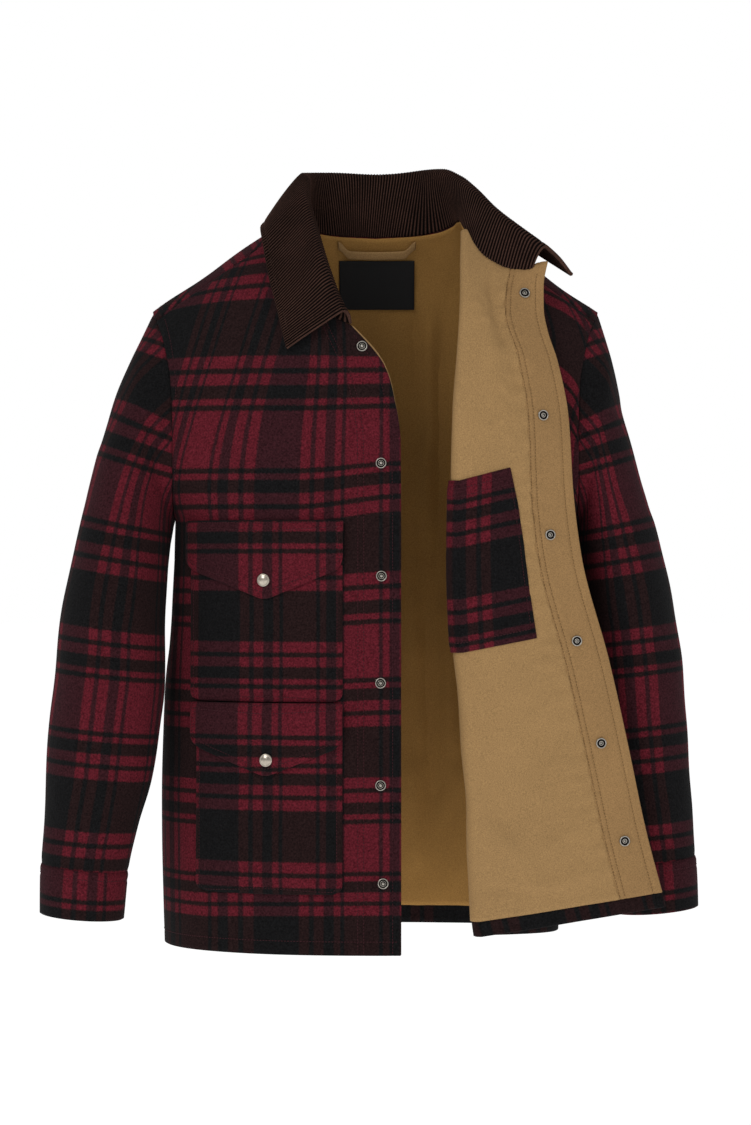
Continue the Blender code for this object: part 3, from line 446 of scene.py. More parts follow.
def back(u, v):
    """Back: u 0 to 1 from the right to the left side; v 1 is the underarm, 2 the top edge."""
    face = "back"
    theta = math.pi * u
    low = min(v, 1.0)
    hem = blend(HEM, HEM_OPEN_SIDE, max(2 * u - 1, 0) ** 2)
    if v <= 1:
        return section_point(theta, blend(hem, UNDERARM, low), face)

    def bottom(share):
        x = section_point(math.pi * share, UNDERARM, face).x
        return x, ridge_angle(x, UNDERARM)

    def top(share):
        near = min(share, 1 - share)
        sign = -1 if share < 0.5 else 1
        if near <= BACK_SHOULDER_SHARE:
            x, _ = armhole_place(SEAM_ANGLE, 1)
            return sign * blend(x, NECK_POINT, near / BACK_SHOULDER_SHARE), -SEAM_ANGLE
        along = (near - BACK_SHOULDER_SHARE) / (0.5 - BACK_SHOULDER_SHARE)
        reach = NECK_POINT * math.cos(along * math.pi / 2)
        return sign * reach, back_neck_angle(reach)

    t = v - 1
    x, phi = patch(u, t, bottom, top, armhole_edge(-1, -SEAM_ANGLE), armhole_edge(1, -SEAM_ANGLE))
    return body_point(x, phi, face)


def fold_radius(v):
    return blend(FOLD_RADIUS, FOLD_RADIUS_TOP, max(v - 1, 0))


def fold_place(v):
    """Middle of the fold in X and its height."""
    if v <= 1:
        z = blend(FOLD_BOTTOM, UNDERARM, v)
    else:
        top = RIDGE.read(NECK_POINT, "z") - ridge_drop(SEAM_ANGLE + NECK_EASE)
        z = blend(UNDERARM, top, v - 1)
    return FOLD_LINE.read(z, "x") + fold_radius(v) + FOLD_SHOW, z


def left_front(u, v):
    """Left front: u 0 to 1 lies under the fold, 1 to 2 turns round it,
    2 to 3 lies over it and 3 to 4 is the facing strip; v 1 is the underarm."""
    face = "open_front"
    fold_x, fold_z = fold_place(v)
    radius = fold_radius(v)
    if u < 1:
        if v <= 1:
            side_z = blend(HEM_OPEN_SIDE, UNDERARM, v)
            z = blend(side_z, fold_z, u)
            theta = blend(math.pi, section_angle(fold_x, fold_z, face), u)
            return section_point(theta, z, face)

        def bottom(share):
            corner_x, corner_z = fold_place(1)
            theta = blend(math.pi, section_angle(corner_x, corner_z, face), share)
            x = section_point(theta, UNDERARM, face).x
            return x, ridge_angle(x, UNDERARM)

        def fold(t):
            x, z = fold_place(1 + t)
            return x, ridge_angle(x, z)

        def top(share):
            x, _ = armhole_place(SEAM_ANGLE, 1)
            return blend(x, NECK_POINT, share), SEAM_ANGLE + NECK_EASE * share ** 8

        x, phi = patch(u, v - 1, bottom, top, armhole_edge(1, SEAM_ANGLE), fold)
        return body_point(x, phi, face)

    root = body_point(fold_x, ridge_angle(fold_x, fold_z), face)
    if u < 2:
        turn = math.pi * (u - 1)
        shift = Vector((-radius * math.sin(turn), -radius * (1 - math.cos(turn)), 0))
        return root + shift
    if v <= 1:
        edge_z = blend(OPEN_BOTTOM, OPEN_UNDERARM, v)
    else:
        edge_z = blend(OPEN_UNDERARM, OPEN_TOP, v - 1)
    edge_x = OPEN_EDGE.read(edge_z, "x")
    width = blend(FACING_WIDTH, FACING_WIDTH_TOP, max(v - 1, 0))
    seam_x = edge_x - width
    if u <= 3:
        x = blend(fold_x, seam_x, u - 2)
    else:
        x = blend(seam_x, edge_x, u - 3)
    t = (x - fold_x) / (edge_x - fold_x)
    near_top = max((v - DIP_START) / (2 - DIP_START), 0)
    dip = NECK_DIP.read(t, "dip") * near_top * near_top * (3 - 2 * near_top)
    z = blend(fold_z, edge_z, t) + dip
    y = blend(root.y - 2 * radius, OPEN_EDGE.read(edge_z, "y"), t)
    y -= LAYER_BOW * t * (1 - t)
    under = body_point(x, ridge_angle(x, z), face).y - 2 * radius
    soft = LAYER_EASE * min(8 * t, 1.0)
    y = (y + under - math.sqrt((y - under) ** 2 + soft * soft)) / 2
    return Vector((x, y, z))


def steps(start, end, count):
    return [start + (end - start) * i / count for i in range(count + 1)]


def on_front(x, z):
    """Place across the right front's own columns at a distance from the middle."""
    seam = section_angle(FACING_SEAM.read(z, "x"), z, "front")
    return section_angle(x, z, "front") / seam


def surface_frame(surface, u, v, sign, step=0.002):
    along = surface(u + step, v) - surface(u - step, v)
    up = surface(u, v + step) - surface(u, v - step)
    return surface(u, v), along.cross(up).normalized() * sign


def off_coat(point):
    """The point itself, or moved out from the coat's shoulders where it lies too close."""
    nearest = None
    for phi in steps(-SHOULDER_REACH, SHOULDER_REACH, SHOULDER_TRIES):
        place = body_point(point.x, phi, "back")
        gap = (place - point).length
        if nearest is None or gap < nearest[0]:
            nearest = (gap, place, phi)
    _, place, phi = nearest
    along = body_point(point.x + 1, phi, "back") - body_point(point.x - 1, phi, "back")
    up = body_point(point.x, phi - 0.02, "back") - body_point(point.x, phi + 0.02, "back")
    outward = up.cross(along).normalized()
    height = (point - place).dot(outward)
    return point + outward * max(LEAF_CLEAR - height, 0)


def collar_line(line, s):
    return Vector([COLLAR.read(s, line + axis) for axis in "xyz"])


def back_inside(x, z):
    """Point of the back and the direction to its inner side, by its place in the front view."""
    step = 0.5

    def at(x, z):
        return body_point(x, ridge_angle(x, z), "back")

    along = at(x + step, z) - at(x - step, z)
    up = at(x, z + step) - at(x, z - step)
    return at(x, z), along.cross(up).normalized()


def front_outside(x, z):
    """Point of the right front and its outward direction, by its place in the front view."""
    step = 0.5

    def at(x, z):
        return body_point(x, ridge_angle(x, z), "front")

    along = at(x + step, z) - at(x - step, z)
    up = at(x, z + step) - at(x, z - step)
    return at(x, z), along.cross(up).normalized()


def open_place(x, z):
    """Place (u, v) on the turned-back part of the left front for a point of the front view."""
    low, high = 0.0, 2.0
    for _ in range(40):
        v = (low + high) / 2
        seam_x = left_front(3, v).x
        edge_x = left_front(4, v).x
        u = 3 + (x - seam_x) / (edge_x - seam_x)
        if left_front(u, v).z < z:
            low = v
        else:
            high = v
    return u, v


armhole_place = lru_cache(maxsize=None)(armhole_place)


# Grids of points, as arrays in millimetres
def unit(array):
    return array / np.maximum(np.linalg.norm(array, axis=-1, keepdims=True), 1e-9)


def read_all(table, values, name):
    """A table read for a whole array at once."""
    keys = np.linspace(table.keys[0], table.keys[-1], 300)
    return np.interp(values, keys, [table.read(key, name) for key in keys])


def arc_lengths(points, axis):
    """Distance run along a grid from its first column or row."""
    steps_taken = np.linalg.norm(np.diff(points, axis=axis), axis=-1)
    start = np.zeros_like(np.take(steps_taken, [0], axis=axis))
    return np.concatenate([start, np.cumsum(steps_taken, axis=axis)], axis=axis)


def smooth_read(points, places):
    """Rows of an array read at fractional indices along a smooth curve."""
    points = np.asarray(points)
    places = np.clip(np.asarray(places, float), 0, len(points) - 1)
    low = np.minimum(places.astype(int), len(points) - 2)
    t = (places - low).reshape((-1,) + (1,) * (points.ndim - 1))
    before = points[np.maximum(low - 1, 0)]
    first = points[low]
    second = points[low + 1]
    after = points[np.minimum(low + 2, len(points) - 1)]
    leave = (second - before) / 2
    arrive = (after - first) / 2
    return (
        first * (2 * t ** 3 - 3 * t ** 2 + 1) + leave * (t ** 3 - 2 * t ** 2 + t)
        + second * (3 * t ** 2 - 2 * t ** 3) + arrive * (t ** 3 - t ** 2)
    )


class Cloth:
    """A grid of points with directions to its inner side and its place in the plaid."""

    def __init__(self, points, sign, us=None, vs=None, ring=False):
        self.points = np.asarray(points, float)
        self.us = us
        self.vs = vs
        self.ring = ring
        self.sign = sign
        self.turn()
        rows, columns = self.points.shape[:2]
        self.plaid = np.zeros((rows, columns + (1 if ring else 0), 2))

    def turn(self):
        """Work out the inward directions from the points."""
        if self.ring:
            along = np.roll(self.points, -1, axis=1) - np.roll(self.points, 1, axis=1)
        else:
            along = np.gradient(self.points, axis=1)
        up = np.gradient(self.points, axis=0)
        self.inward = unit(np.cross(along, up)) * self.sign

    def raised(self, heights, near=0.0):
        """Points moved outward by heights, measured from a distance inside the grid."""
        heights = np.broadcast_to(heights, self.points.shape[:2])
        return self.points + self.inward * (near - heights)[..., None]

    def columns(self, first, last):
        """The part of the grid between two values of u."""
        keep = [i for i, u in enumerate(self.us) if first - 1e-9 <= u <= last + 1e-9]
        return self.part(slice(keep[0], keep[-1] + 1), slice(None))

    def rows(self, first, last):
        keep = [j for j, v in enumerate(self.vs) if first - 1e-9 <= v <= last + 1e-9]
        return self.part(slice(None), slice(keep[0], keep[-1] + 1))

    def part(self, columns, rows):
        made = Cloth(self.points[rows, columns], self.sign, self.us[columns], self.vs[rows])
        made.inward = self.inward[rows, columns]
        made.plaid = self.plaid[rows, columns]
        return made

    def place(self, u, v):
        """Fractional row and column of a place."""
        return np.interp(v, self.vs, range(len(self.vs))), np.interp(u, self.us, range(len(self.us)))


def bilinear(array, row, column):
    """Values of a grid at fractional rows and columns."""
    row = np.clip(row, 0, array.shape[0] - 1.001)
    column = np.clip(column, 0, array.shape[1] - 1.001)
    j = row.astype(int)
    i = column.astype(int)
    s = (column - i)[:, None]
    t = (row - j)[:, None]
    low = array[j, i] * (1 - s) + array[j, i + 1] * s
    high = array[j + 1, i] * (1 - s) + array[j + 1, i + 1] * s
    return low * (1 - t) + high * t


def sample(surface, us, vs, sign):
    points = [[tuple(surface(u, v)) for u in us] for v in vs]
    return Cloth(points, sign, np.array(us), np.array(vs))


# Relief: listed creases, soft waves and puckers
def crease_heights(points, creases):
    """Height of a table of creases at each point, by its place in the front view."""
    x = points[..., 0]
    z = points[..., 2]
    total = np.zeros(x.shape)
    for x0, z0, x1, z1, bend, width, height in creases:
        length = math.hypot(x1 - x0, z1 - z0)
        way_x = (x1 - x0) / length
        way_z = (z1 - z0) / length
        t = ((x - x0) * way_x + (z - z0) * way_z) / length
        aside = (z - z0) * way_x - (x - x0) * way_z
        inside = np.clip(t, 0, 1)
        aside = aside - bend * 4 * inside * (1 - inside)
        fade = np.clip(np.minimum(t, 1 - t) * 4 + 0.15, 0, 1)
        fade = fade * fade * (3 - 2 * fade)
        total += height * fade * np.exp(-(aside / width) ** 2)
    return total


def soft_waves(points, seed, size, height, count=7):
    """Slow random waves over a piece."""
    chance = random.Random(seed)
    total = np.zeros(points.shape[:2])
    for _ in range(count):
        way = [chance.gauss(0, 1), chance.gauss(0, 0.5), chance.gauss(0, 0.6)]
        scale = chance.uniform(0.6, 1.6) * 2 * math.pi / size / math.hypot(*way)
        phase = chance.uniform(0, 2 * math.pi)
        total += np.sin(points @ np.array(way) * scale + phase)
    return total * height / math.sqrt(count)


def groove(distance, width, depth):
    return -depth * np.exp(-(distance / width) ** 2)


def puckers(along, seed, pitch, height):
    """Small uneven ripples along a seam."""
    wander = np.sin(along / pitch * 0.83 + seed) * 1.7 + np.sin(along / pitch * 0.31 + 2 * seed)
    return height * np.sin(2 * math.pi * along / pitch + wander)


# Meshes
def add_mesh(name, vertices, faces, materials, slots=None, uvs=None):
    """An object from points in millimetres; uvs gives the plaid place of each face corner."""
    mesh = bpy.data.meshes.new(name)
    mesh.from_pydata((np.asarray(vertices) * MM).tolist(), [], faces)
    for material in materials:
        mesh.materials.append(material)
    if slots is not None:
        mesh.polygons.foreach_set("material_index", slots)
    mesh.polygons.foreach_set("use_smooth", [True] * len(mesh.polygons))
    if uvs is not None:
        layer = mesh.uv_layers.new(name="plaid")
        layer.data.foreach_set("uv", np.asarray(uvs, np.float32).ravel())
    mesh.update()
    made = bpy.data.objects.new(name, mesh)
    bpy.context.scene.collection.objects.link(made)
    return made


def shell(name, cloth, near, far, materials, band=0):
    """A closed shell between two layers of points, with a rounded rim.

    The first material is on the near layer and the rim, the second on the far layer; the third,
    if any, is on the far layer's first rows.
    """
    rows, columns = near.shape[:2]
    ring = cloth.ring
    spans = columns if ring else columns - 1
    layer = rows * columns
    vertices = [near.reshape(-1, 3), far.reshape(-1, 3)]
    faces = []
    slots = []
    corners = []

    def quad(places, flip, slot):
        order = places[::-1] if flip else places
        faces.append([index for index, _, _ in order])
        corners.extend((j, i) for _, j, i in order)
        slots.append(slot)

    def spot(side, j, i):
        return side * layer + j * columns + i % columns, j, i

    along = near[1, 1] - near[1, 0]
    up = near[1, 0] - near[0, 0]
    turned = float(np.dot(np.cross(along, up), far[0, 0] - near[0, 0])) > 0
    far_slot = 1 if len(materials) > 1 else 0
    for j in range(rows - 1):
        below = 2 if len(materials) > 2 and j < band else far_slot
        for i in range(spans):
            for side, slot in ((0, 0), (1, below)):
                quad([spot(side, j, i), spot(side, j, i + 1), spot(side, j + 1, i + 1),
                      spot(side, j + 1, i)], (side == 1) != turned, slot)

    rims = [([(0, i) for i in range(columns)], 1, 0, False),
            ([(rows - 1, i) for i in range(columns)], -1, 0, True)]
    if not ring:
        rims.append(([(j, 0) for j in range(rows)], 0, 1, True))
        rims.append(([(j, columns - 1) for j in range(rows)], 0, -1, False))
    count = 2 * layer
    for places, step_j, step_i, flip in rims:
        middle = []
        for j, i in places:
            centre = (near[j, i] + far[j, i]) / 2
            inner = (near[j + step_j, i + step_i] + far[j + step_j, i + step_i]) / 2
            away = unit(centre - inner)
            middle.append(centre + away * np.linalg.norm(near[j, i] - far[j, i]) * 0.3)
        vertices.append(np.array(middle))
        total = len(places)
        for k in range(total if ring else total - 1):
            n = (k + 1) % total
            (j, i), (j2, i2) = places[k], places[n]
            i2 = i + 1 if ring else i2
            one = (count + k, j, i)
            two = (count + n, j2, i2)
            quad([spot(0, j, i), one, two, spot(0, j2, i2)], flip != turned, 0)
            quad([one, spot(1, j, i), spot(1, j2, i2), two], flip != turned, 0)
        count += total
    uvs = [cloth.plaid[j, i] for j, i in corners]
    return add_mesh(name, np.concatenate(vertices), faces, materials, slots, uvs)


# Materials
RED_RED = (0.114, 0.0118, 0.0196, 1)
BLACK_RED = (0.039, 0.0103, 0.0138, 1)
RED_BLACK = (0.0194, 0.0091, 0.0091, 1)
BLACK_BLACK = (0.008, 0.008, 0.0085, 1)
WARP_STRIPES = (0.1020, 0.1254, 0.1633, 0.2245, 0.2828, 0.3120, 0.3703)
WEFT_STRIPES = (0.1281, 0.1527, 0.1798, 0.2414, 0.2906, 0.3153, 0.3695)
STRIPE_SOFT = 0.0035


class Nodes:
    """Short hand for a material's nodes."""

    def __init__(self, name, roughness, metallic=0.0):
        self.material = bpy.data.materials.new(name)
        self.material.use_nodes = True
        self.tree = self.material.node_tree
        self.shader = self.tree.nodes["Principled BSDF"]
        self.shader.inputs["Roughness"].default_value = roughness
        self.shader.inputs["Metallic"].default_value = metallic

    def add(self, kind, values=(), **settings):
        node = self.tree.nodes.new("ShaderNode" + kind)
        for key, value in settings.items():
            setattr(node, key, value)
        for place, value in values:
            if hasattr(value, "is_output"):
                self.tree.links.new(value, node.inputs[place])
            else:
                node.inputs[place].default_value = value
        return node

    def math(self, operation, *values):
        return self.add("Math", enumerate(values), operation=operation).outputs[0]

    def mix(self, share, first, second, blend_type="MIX"):
        node = self.add("Mix", data_type="RGBA", blend_type=blend_type)
        for place, value in ((0, share), (6, first), (7, second)):
            if hasattr(value, "is_output"):
                self.tree.links.new(value, node.inputs[place])
            else:
                node.inputs[place].default_value = value
        return node.outputs[2]

    def noise(self, place, scale, detail=2.0, roughness=0.5):
        return self.add(
            "TexNoise",
            (("Vector", place), ("Scale", scale), ("Detail", detail), ("Roughness", roughness)),
        ).outputs["Fac"]

    def spread(self, value, low, high, new_low=0.0, new_high=1.0):
        return self.add(
            "MapRange", ((0, value), (1, low), (2, high), (3, new_low), (4, new_high)),
        ).outputs[0]

    def bump(self, height, strength, distance):
        node = self.add("Bump", (("Strength", strength), ("Distance", distance), ("Height", height)))
        self.tree.links.new(node.outputs[0], self.shader.inputs["Normal"])

    def colour(self, value):
        socket = self.shader.inputs["Base Color"]
        if hasattr(value, "is_output"):
            self.tree.links.new(value, socket)
        else:
            socket.default_value = value
        return self.material


def stripe_mask(nodes, value, stripes):
    """0 on red and 1 on black threads, for a place folded to half a repeat."""
    folded = nodes.math("MULTIPLY", nodes.math("PINGPONG", value, 0.5), 2.0)
    ramp = nodes.add("ValToRGB", ((0, folded),))
    stops = ramp.color_ramp.elements
    stops[0].position = 0.0
    stops[0].color = (0, 0, 0, 1)
    stops[1].position = 1.0
    stops[1].color = (1, 1, 1, 1)
    for index, edge in enumerate(stripes):
        before = float(index % 2)
        for place, level in ((edge - STRIPE_SOFT, before), (edge + STRIPE_SOFT, 1 - before)):
            stop = stops.new(place * 2)
            stop.color = (level, level, level, 1)
    return ramp.outputs[0]


def make_wool(name, light=1.0):
    """Napped plaid wool: the sett from the plaid coordinates, with a fuzzy grain."""
    nodes = Nodes(name, 0.95)
    place = nodes.add("TexCoord").outputs["Object"]
    split = nodes.add("SeparateXYZ", ((0, nodes.add("UVMap", uv_map="plaid").outputs[0]),))
    fray = nodes.math("MULTIPLY", nodes.math("SUBTRACT", nodes.noise(place, 900.0), 0.5), 0.02)
    fray_up = nodes.math("MULTIPLY", nodes.math("SUBTRACT", nodes.noise(place, 760.0), 0.5), 0.02)
    warp = stripe_mask(nodes, nodes.math("ADD", split.outputs[0], fray), WARP_STRIPES)
    weft = stripe_mask(nodes, nodes.math("ADD", split.outputs[1], fray_up), WEFT_STRIPES)
    on_red = nodes.mix(warp, RED_RED, BLACK_RED)
    on_black = nodes.mix(warp, RED_BLACK, BLACK_BLACK)
    colour = nodes.mix(weft, on_red, on_black)
    grain = nodes.noise(place, 520.0, 3.0, 0.65)
    level = nodes.spread(grain, 0.3, 0.72, 0.42 * light, 1.62 * light)
    shade = nodes.add("CombineXYZ", ((0, level), (1, level), (2, level))).outputs[0]
    colour = nodes.mix(1.0, colour, shade, "MULTIPLY")
    fleck = nodes.spread(nodes.noise(place, 1150.0, 1.0), 0.62, 0.8, 0.0, 0.3)
    colour = nodes.mix(fleck, colour, (0.06 * light, 0.04 * light, 0.043 * light, 1))
    nodes.shader.inputs["Sheen Weight"].default_value = 0.02
    nodes.shader.inputs["Sheen Roughness"].default_value = 0.5
    nodes.shader.inputs["Specular IOR Level"].default_value = 0.05
    nodes.bump(grain, 0.5, 0.0012)
    return nodes.colour(colour)


def make_cloth(name, colour, variation=0.12, weave=900.0, depth=0.0004, roughness=0.85):
    """Plain woven cloth with a fine grain and slow changes of tone."""
    nodes = Nodes(name, roughness)
    place = nodes.add("TexCoord").outputs["Object"]
    grain = nodes.noise(place, weave, 1.0)
    slow = nodes.noise(place, 14.0, 3.0)
    level = nodes.math("ADD", nodes.spread(grain, 0.3, 0.7, 1 - variation, 1 + variation),
                       nodes.spread(slow, 0.3, 0.7, -0.05, 0.05))
    shade = nodes.add("CombineXYZ", ((0, level), (1, level), (2, level))).outputs[0]
    nodes.shader.inputs["Specular IOR Level"].default_value = 0.2
    nodes.bump(grain, 0.35, depth)
    return nodes.colour(nodes.mix(1.0, (*colour, 1), shade, "MULTIPLY"))


def make_corduroy(name):
    """Brown corduroy; the wales are modelled, the pile is a fine grain."""
    nodes = Nodes(name, 0.9)
    place = nodes.add("TexCoord").outputs["Object"]
    grain = nodes.noise(place, 1300.0, 2.0)
    slow = nodes.noise(place, 30.0, 3.0)
    warm = nodes.mix(nodes.spread(slow, 0.35, 0.7), (0.048, 0.024, 0.0175, 1), (0.07, 0.034, 0.025, 1))
    split = nodes.add("SeparateXYZ", ((0, nodes.add("UVMap", uv_map="plaid").outputs[0]),))
    valley = nodes.math("MULTIPLY", nodes.math("PINGPONG", split.outputs[0], 0.5), 2.0)
    # Painted shade and highlight: the colour falls to near black towards the valleys between the wales and
    # stays bright on their ridges, where light would catch them
    depth = nodes.spread(valley, 0.1, 0.62, 1.0, 0.03)
    level = nodes.math("MULTIPLY", nodes.spread(grain, 0.3, 0.7, 0.4, 1.6), depth)
    shade = nodes.add("CombineXYZ", ((0, level), (1, level), (2, level))).outputs[0]
    nodes.shader.inputs["Specular IOR Level"].default_value = 0.06
    nodes.bump(grain, 0.3, 0.0005)
    return nodes.colour(nodes.mix(1.0, warm, shade, "MULTIPLY"))


def make_metal(name, colour, roughness):
    nodes = Nodes(name, roughness, 1.0)
    place = nodes.add("TexCoord").outputs["Object"]
    wear = nodes.noise(place, 300.0, 3.0)
    level = nodes.spread(wear, 0.35, 0.7, 0.8, 1.1)
    shade = nodes.add("CombineXYZ", ((0, level), (1, level), (2, level))).outputs[0]
    return nodes.colour(nodes.mix(1.0, (*colour, 1), shade, "MULTIPLY"))


# Relief of each region, by place in the front view, so that stacked layers share it
FRONT_CREASES = (
    (-190, -350, -160, -520, 6, 14, 1.2),
    (-20, -420, -10, -700, -5, 16, -0.9),
    (-205, -560, -195, -720, 4, 12, 1.0),
    (-150, -130, -175, -230, 8, 13, -1.3),
    (-90, -180, -60, -290, -6, 18, 0.9),
)
OPEN_CREASES = (
    (120, -42, 140, -132, -5, 7, -3.0),
    (140, -132, 147, -172, 2, 7, -2.2),
    (112, -75, 118, -190, 4, 9, 1.8),
    (160, -215, 146, -262, 3, 6, 1.8),
    (164, -300, 140, -345, 4, 6, 1.8),
    (190, -480, 150, -520, 5, 7, 1.8),
    (205, -545, 160, -600, -6, 8, 2.0),
    (222, -610, 170, -650, 5, 7, 1.8),
    (100, -615, 175, -700, 9, 11, 2.2),
    (108, -560, 150, -640, -6, 10, -1.8),
    (235, -668, 150, -690, 4, 7, 1.8),
    (102, -690, 205, -700, 3, 6, -1.8),
)
SLEEVE_CREASES = (
    (250, -180, 300, -230, 8, 14, -2.2),
    (240, -250, 305, -300, -8, 13, -2.2),
    (228, -340, 300, -330, 8, 12, -1.8),
    (232, -420, 322, -455, 10, 14, -3.2),
    (240, -455, 325, -500, -8, 12, 2.0),
    (250, -560, 330, -590, 8, 13, -2.0),
    (258, -640, 338, -625, -6, 12, -1.6),
    (240, -300, 262, -420, -7, 16, 1.8),
)
LINING_CREASES = (
    (44, -60, 50, -240, 4, 8, -3.0),
    (62, -40, 60, -330, -4, 9, 3.2),
    (74, -80, 72, -420, 3, 8, -3.0),
    (35, -250, 45, -480, -4, 11, 2.6),
    (58, -380, 66, -640, 3, 10, -2.6),
    (84, -330, 86, -560, -2, 8, 2.4),
    (40, -560, 46, -700, 3, 12, 2.0),
)


def front_relief(points):
    return crease_heights(points, FRONT_CREASES) + soft_waves(points, 3, 130, 0.55)


def seam_wrinkles(seed, count_of, reach, size):
    """Short uneven creases on both sides of the facing's seam on the turned-back front."""
    chance = random.Random(seed)
    rows = []
    for step_of in range(count_of):
        z = -60 - 620 * (step_of + chance.uniform(0, 0.8)) / count_of
        x = OPEN_EDGE.read(z, "x") - FACING_WIDTH + chance.uniform(-reach, reach * 0.6)
        way = chance.uniform(-1.1, 1.3)
        half = chance.uniform(7, 15)
        rows.append((
            x - half * math.cos(way), z - half * math.sin(way),
            x + half * math.cos(way), z + half * math.sin(way),
            chance.uniform(-2.5, 2.5), chance.uniform(2.2, 3.8),
            chance.choice((-1, 1)) * chance.uniform(0.6, 1.0) * size,
        ))
    return tuple(rows)


SEAM_WRINKLES = seam_wrinkles(5, 70, 26, 1.3)


def open_relief(points):
    return crease_heights(points, OPEN_CREASES) + soft_waves(points, 8, 90, 0.7)


def near_neck(points):
    """1 by the label and the hanger loop, where the back lies smooth, and 0 away from them."""
    return np.exp(-(points[..., 0] / 66) ** 4 - ((points[..., 2] + 20) / 62) ** 4)


def back_relief(points):
    mirrored = points * np.array([-1, 1, 1])
    relief = crease_heights(mirrored, FRONT_CREASES) * 1.4 + soft_waves(points, 15, 120, 0.9)
    return relief * (1 - near_neck(points))


def sleeve_relief(points, seed):
    turned = points * np.array([1 if points[..., 0].mean() > 0 else -1, 1, 1])
    far = np.clip(points[..., 1] / 60, -1, 1)
    creases = crease_heights(turned, SLEEVE_CREASES)
    return creases * (0.45 - 0.1 * far) + soft_waves(points, seed, 110, 0.8)


# Plaid places
def height_repeat(z, y):
    """Repeats down the cloth at a height seen in the front view."""
    seen = (z + 349) * 3200 / (3200 + np.minimum(y, 0))
    root = np.sqrt(np.maximum(125.8 ** 2 - 4 * 2.634 * (255.3 - seen), 1.0))
    return ((125.8 - root) / (2 * 2.634) + 1) / 2


SHOULDER_START = -150


def hanging_height(cloth):
    """Heights that run on as arc length over the shoulder."""
    arc = arc_lengths(cloth.points, 0)
    z = cloth.points[..., 2]
    heights = z.copy()
    for i in range(z.shape[1]):
        start = float(np.interp(SHOULDER_START, z[:, i], arc[:, i]))
        above = arc[:, i] > start
        heights[above, i] = SHOULDER_START + arc[above, i] - start
    return heights


EDGE_REPEAT = Table("arc p", (0, -0.229), (40.3, 0), (128.7, 0.5), (228, 1.0), (340, 1.6))
EDGE_RISE = Table(
    "z rise", (-750, 0), (-486, 3.2), (-378, 5.4), (-282, 10.7), (-207, 3), (-100, 0),
)


def plaid_of_right_front(cloth):
    arc = arc_lengths(cloth.points[:, ::-1], 1)[:, ::-1]
    x = np.clip((cloth.points[..., 0] + 81) / 107, 0, 1)
    rise = read_all(EDGE_RISE, cloth.points[..., 2], "rise") * x * x * (3 - 2 * x)
    arc = arc + (FRONT_EDGE.rows[0][1] - cloth.points[:, -1:, 0])
    cloth.plaid[..., 0] = read_all(EDGE_REPEAT, arc, "p")
    depth = np.minimum(cloth.points[..., 1], -95)
    cloth.plaid[..., 1] = height_repeat(hanging_height(cloth) - rise, depth)


def plaid_of_left_front(cloth):
    arc = arc_lengths(cloth.points[:, ::-1], 1)[:, ::-1]
    flat = np.interp(cloth.vs, (0, 1), (HEM, UNDERARM))[:, None]
    index = int(np.argmin(abs(cloth.vs - 1)))
    above = arc_lengths(cloth.points[index:], 0)
    heights = np.broadcast_to(flat, arc.shape).copy()
    heights[index:] += above
    cloth.plaid[..., 0] = read_all(EDGE_REPEAT, arc, "p")
    cloth.plaid[..., 1] = height_repeat(heights, np.zeros_like(heights))


def plaid_of_back(cloth):
    middle = len(cloth.us) // 2
    arc = arc_lengths(cloth.points, 1)
    cloth.plaid[..., 0] = (arc - arc[:, [middle]]) / 178
    cloth.plaid[..., 1] = height_repeat(hanging_height(cloth), np.zeros(arc.shape))


# Sampling
FINE = 1.0


def count(number):
    return max(int(number * FINE), 4)


def spans(*parts):
    """Values from several (start, end, count) runs, without doubles."""
    values = []
    for start, end, number in parts:
        values += steps(start, end, count(number))[(1 if values else 0):]
    return values


# Stitches
class Stitches:
    """Stitches gathered into one piece."""

    def __init__(self, name, material, radius=0.36):
        self.name = name
        self.material = material
        self.radius = radius
        self.vertices = []
        self.faces = []

    def add(self, start, end, normal):
        along = unit(end - start)
        side = np.cross(along, normal)
        base = len(self.vertices)
        sink = normal * self.radius * 0.6
        self.vertices.append(start - sink)
        for share in (0.2, 0.8):
            middle = start * (1 - share) + end * share
            for across, lift in ((1, 0), (0, 1), (-1, 0), (0, -1)):
                offset = side * across + normal * (lift * 0.8 + 0.2)
                self.vertices.append(middle + offset * self.radius)
        self.vertices.append(end - sink)
        for k in range(4):
            n = (k + 1) % 4
            self.faces.append((base, base + 1 + n, base + 1 + k))
            self.faces.append((base + 1 + k, base + 1 + n, base + 5 + n, base + 5 + k))
            self.faces.append((base + 5 + k, base + 5 + n, base + 9))

    def run(self, points, normals, pitch=3.3, length=2.4):
        """Stitches along a run of points."""
        arc = np.concatenate([[0], np.cumsum(np.linalg.norm(np.diff(points, axis=0), axis=1))])
        total = arc[-1]
        for start in np.arange(0.5, total - length, pitch):
            ends = [np.array([np.interp(at, arc, points[:, k]) for k in range(3)])
                    for at in (start, start + length)]
            normal = unit(np.array([np.interp(start, arc, normals[:, k]) for k in range(3)]))
            self.add(ends[0], ends[1], normal)

    def on(self, cloth, layer, places, outward=-1, lift=0.15, **kinds):
        """A run along places (u, v) of a cloth, on one of its layers."""
        us = np.array([u for u, _ in places])
        vs = np.array([v for _, v in places])
        row, column = cloth.place(us, vs)
        points = bilinear(layer, row, column)
        normals = bilinear(cloth.inward, row, column) * outward
        self.run(points + normals * lift, normals, **kinds)

    def finish(self):
        made = add_mesh(self.name, self.vertices, self.faces, [self.material])
        for polygon in made.data.polygons:
            polygon.use_smooth = False
        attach(made, "root")
        return made


def line(surface_places, samples=60):
    """Places along a polyline of (u, v) corners."""
    made = []
    for (u0, v0), (u1, v1) in zip(surface_places, surface_places[1:]):
        made += [(blend(u0, u1, t), blend(v0, v1, t)) for t in steps(0, 1, samples)]
    return made


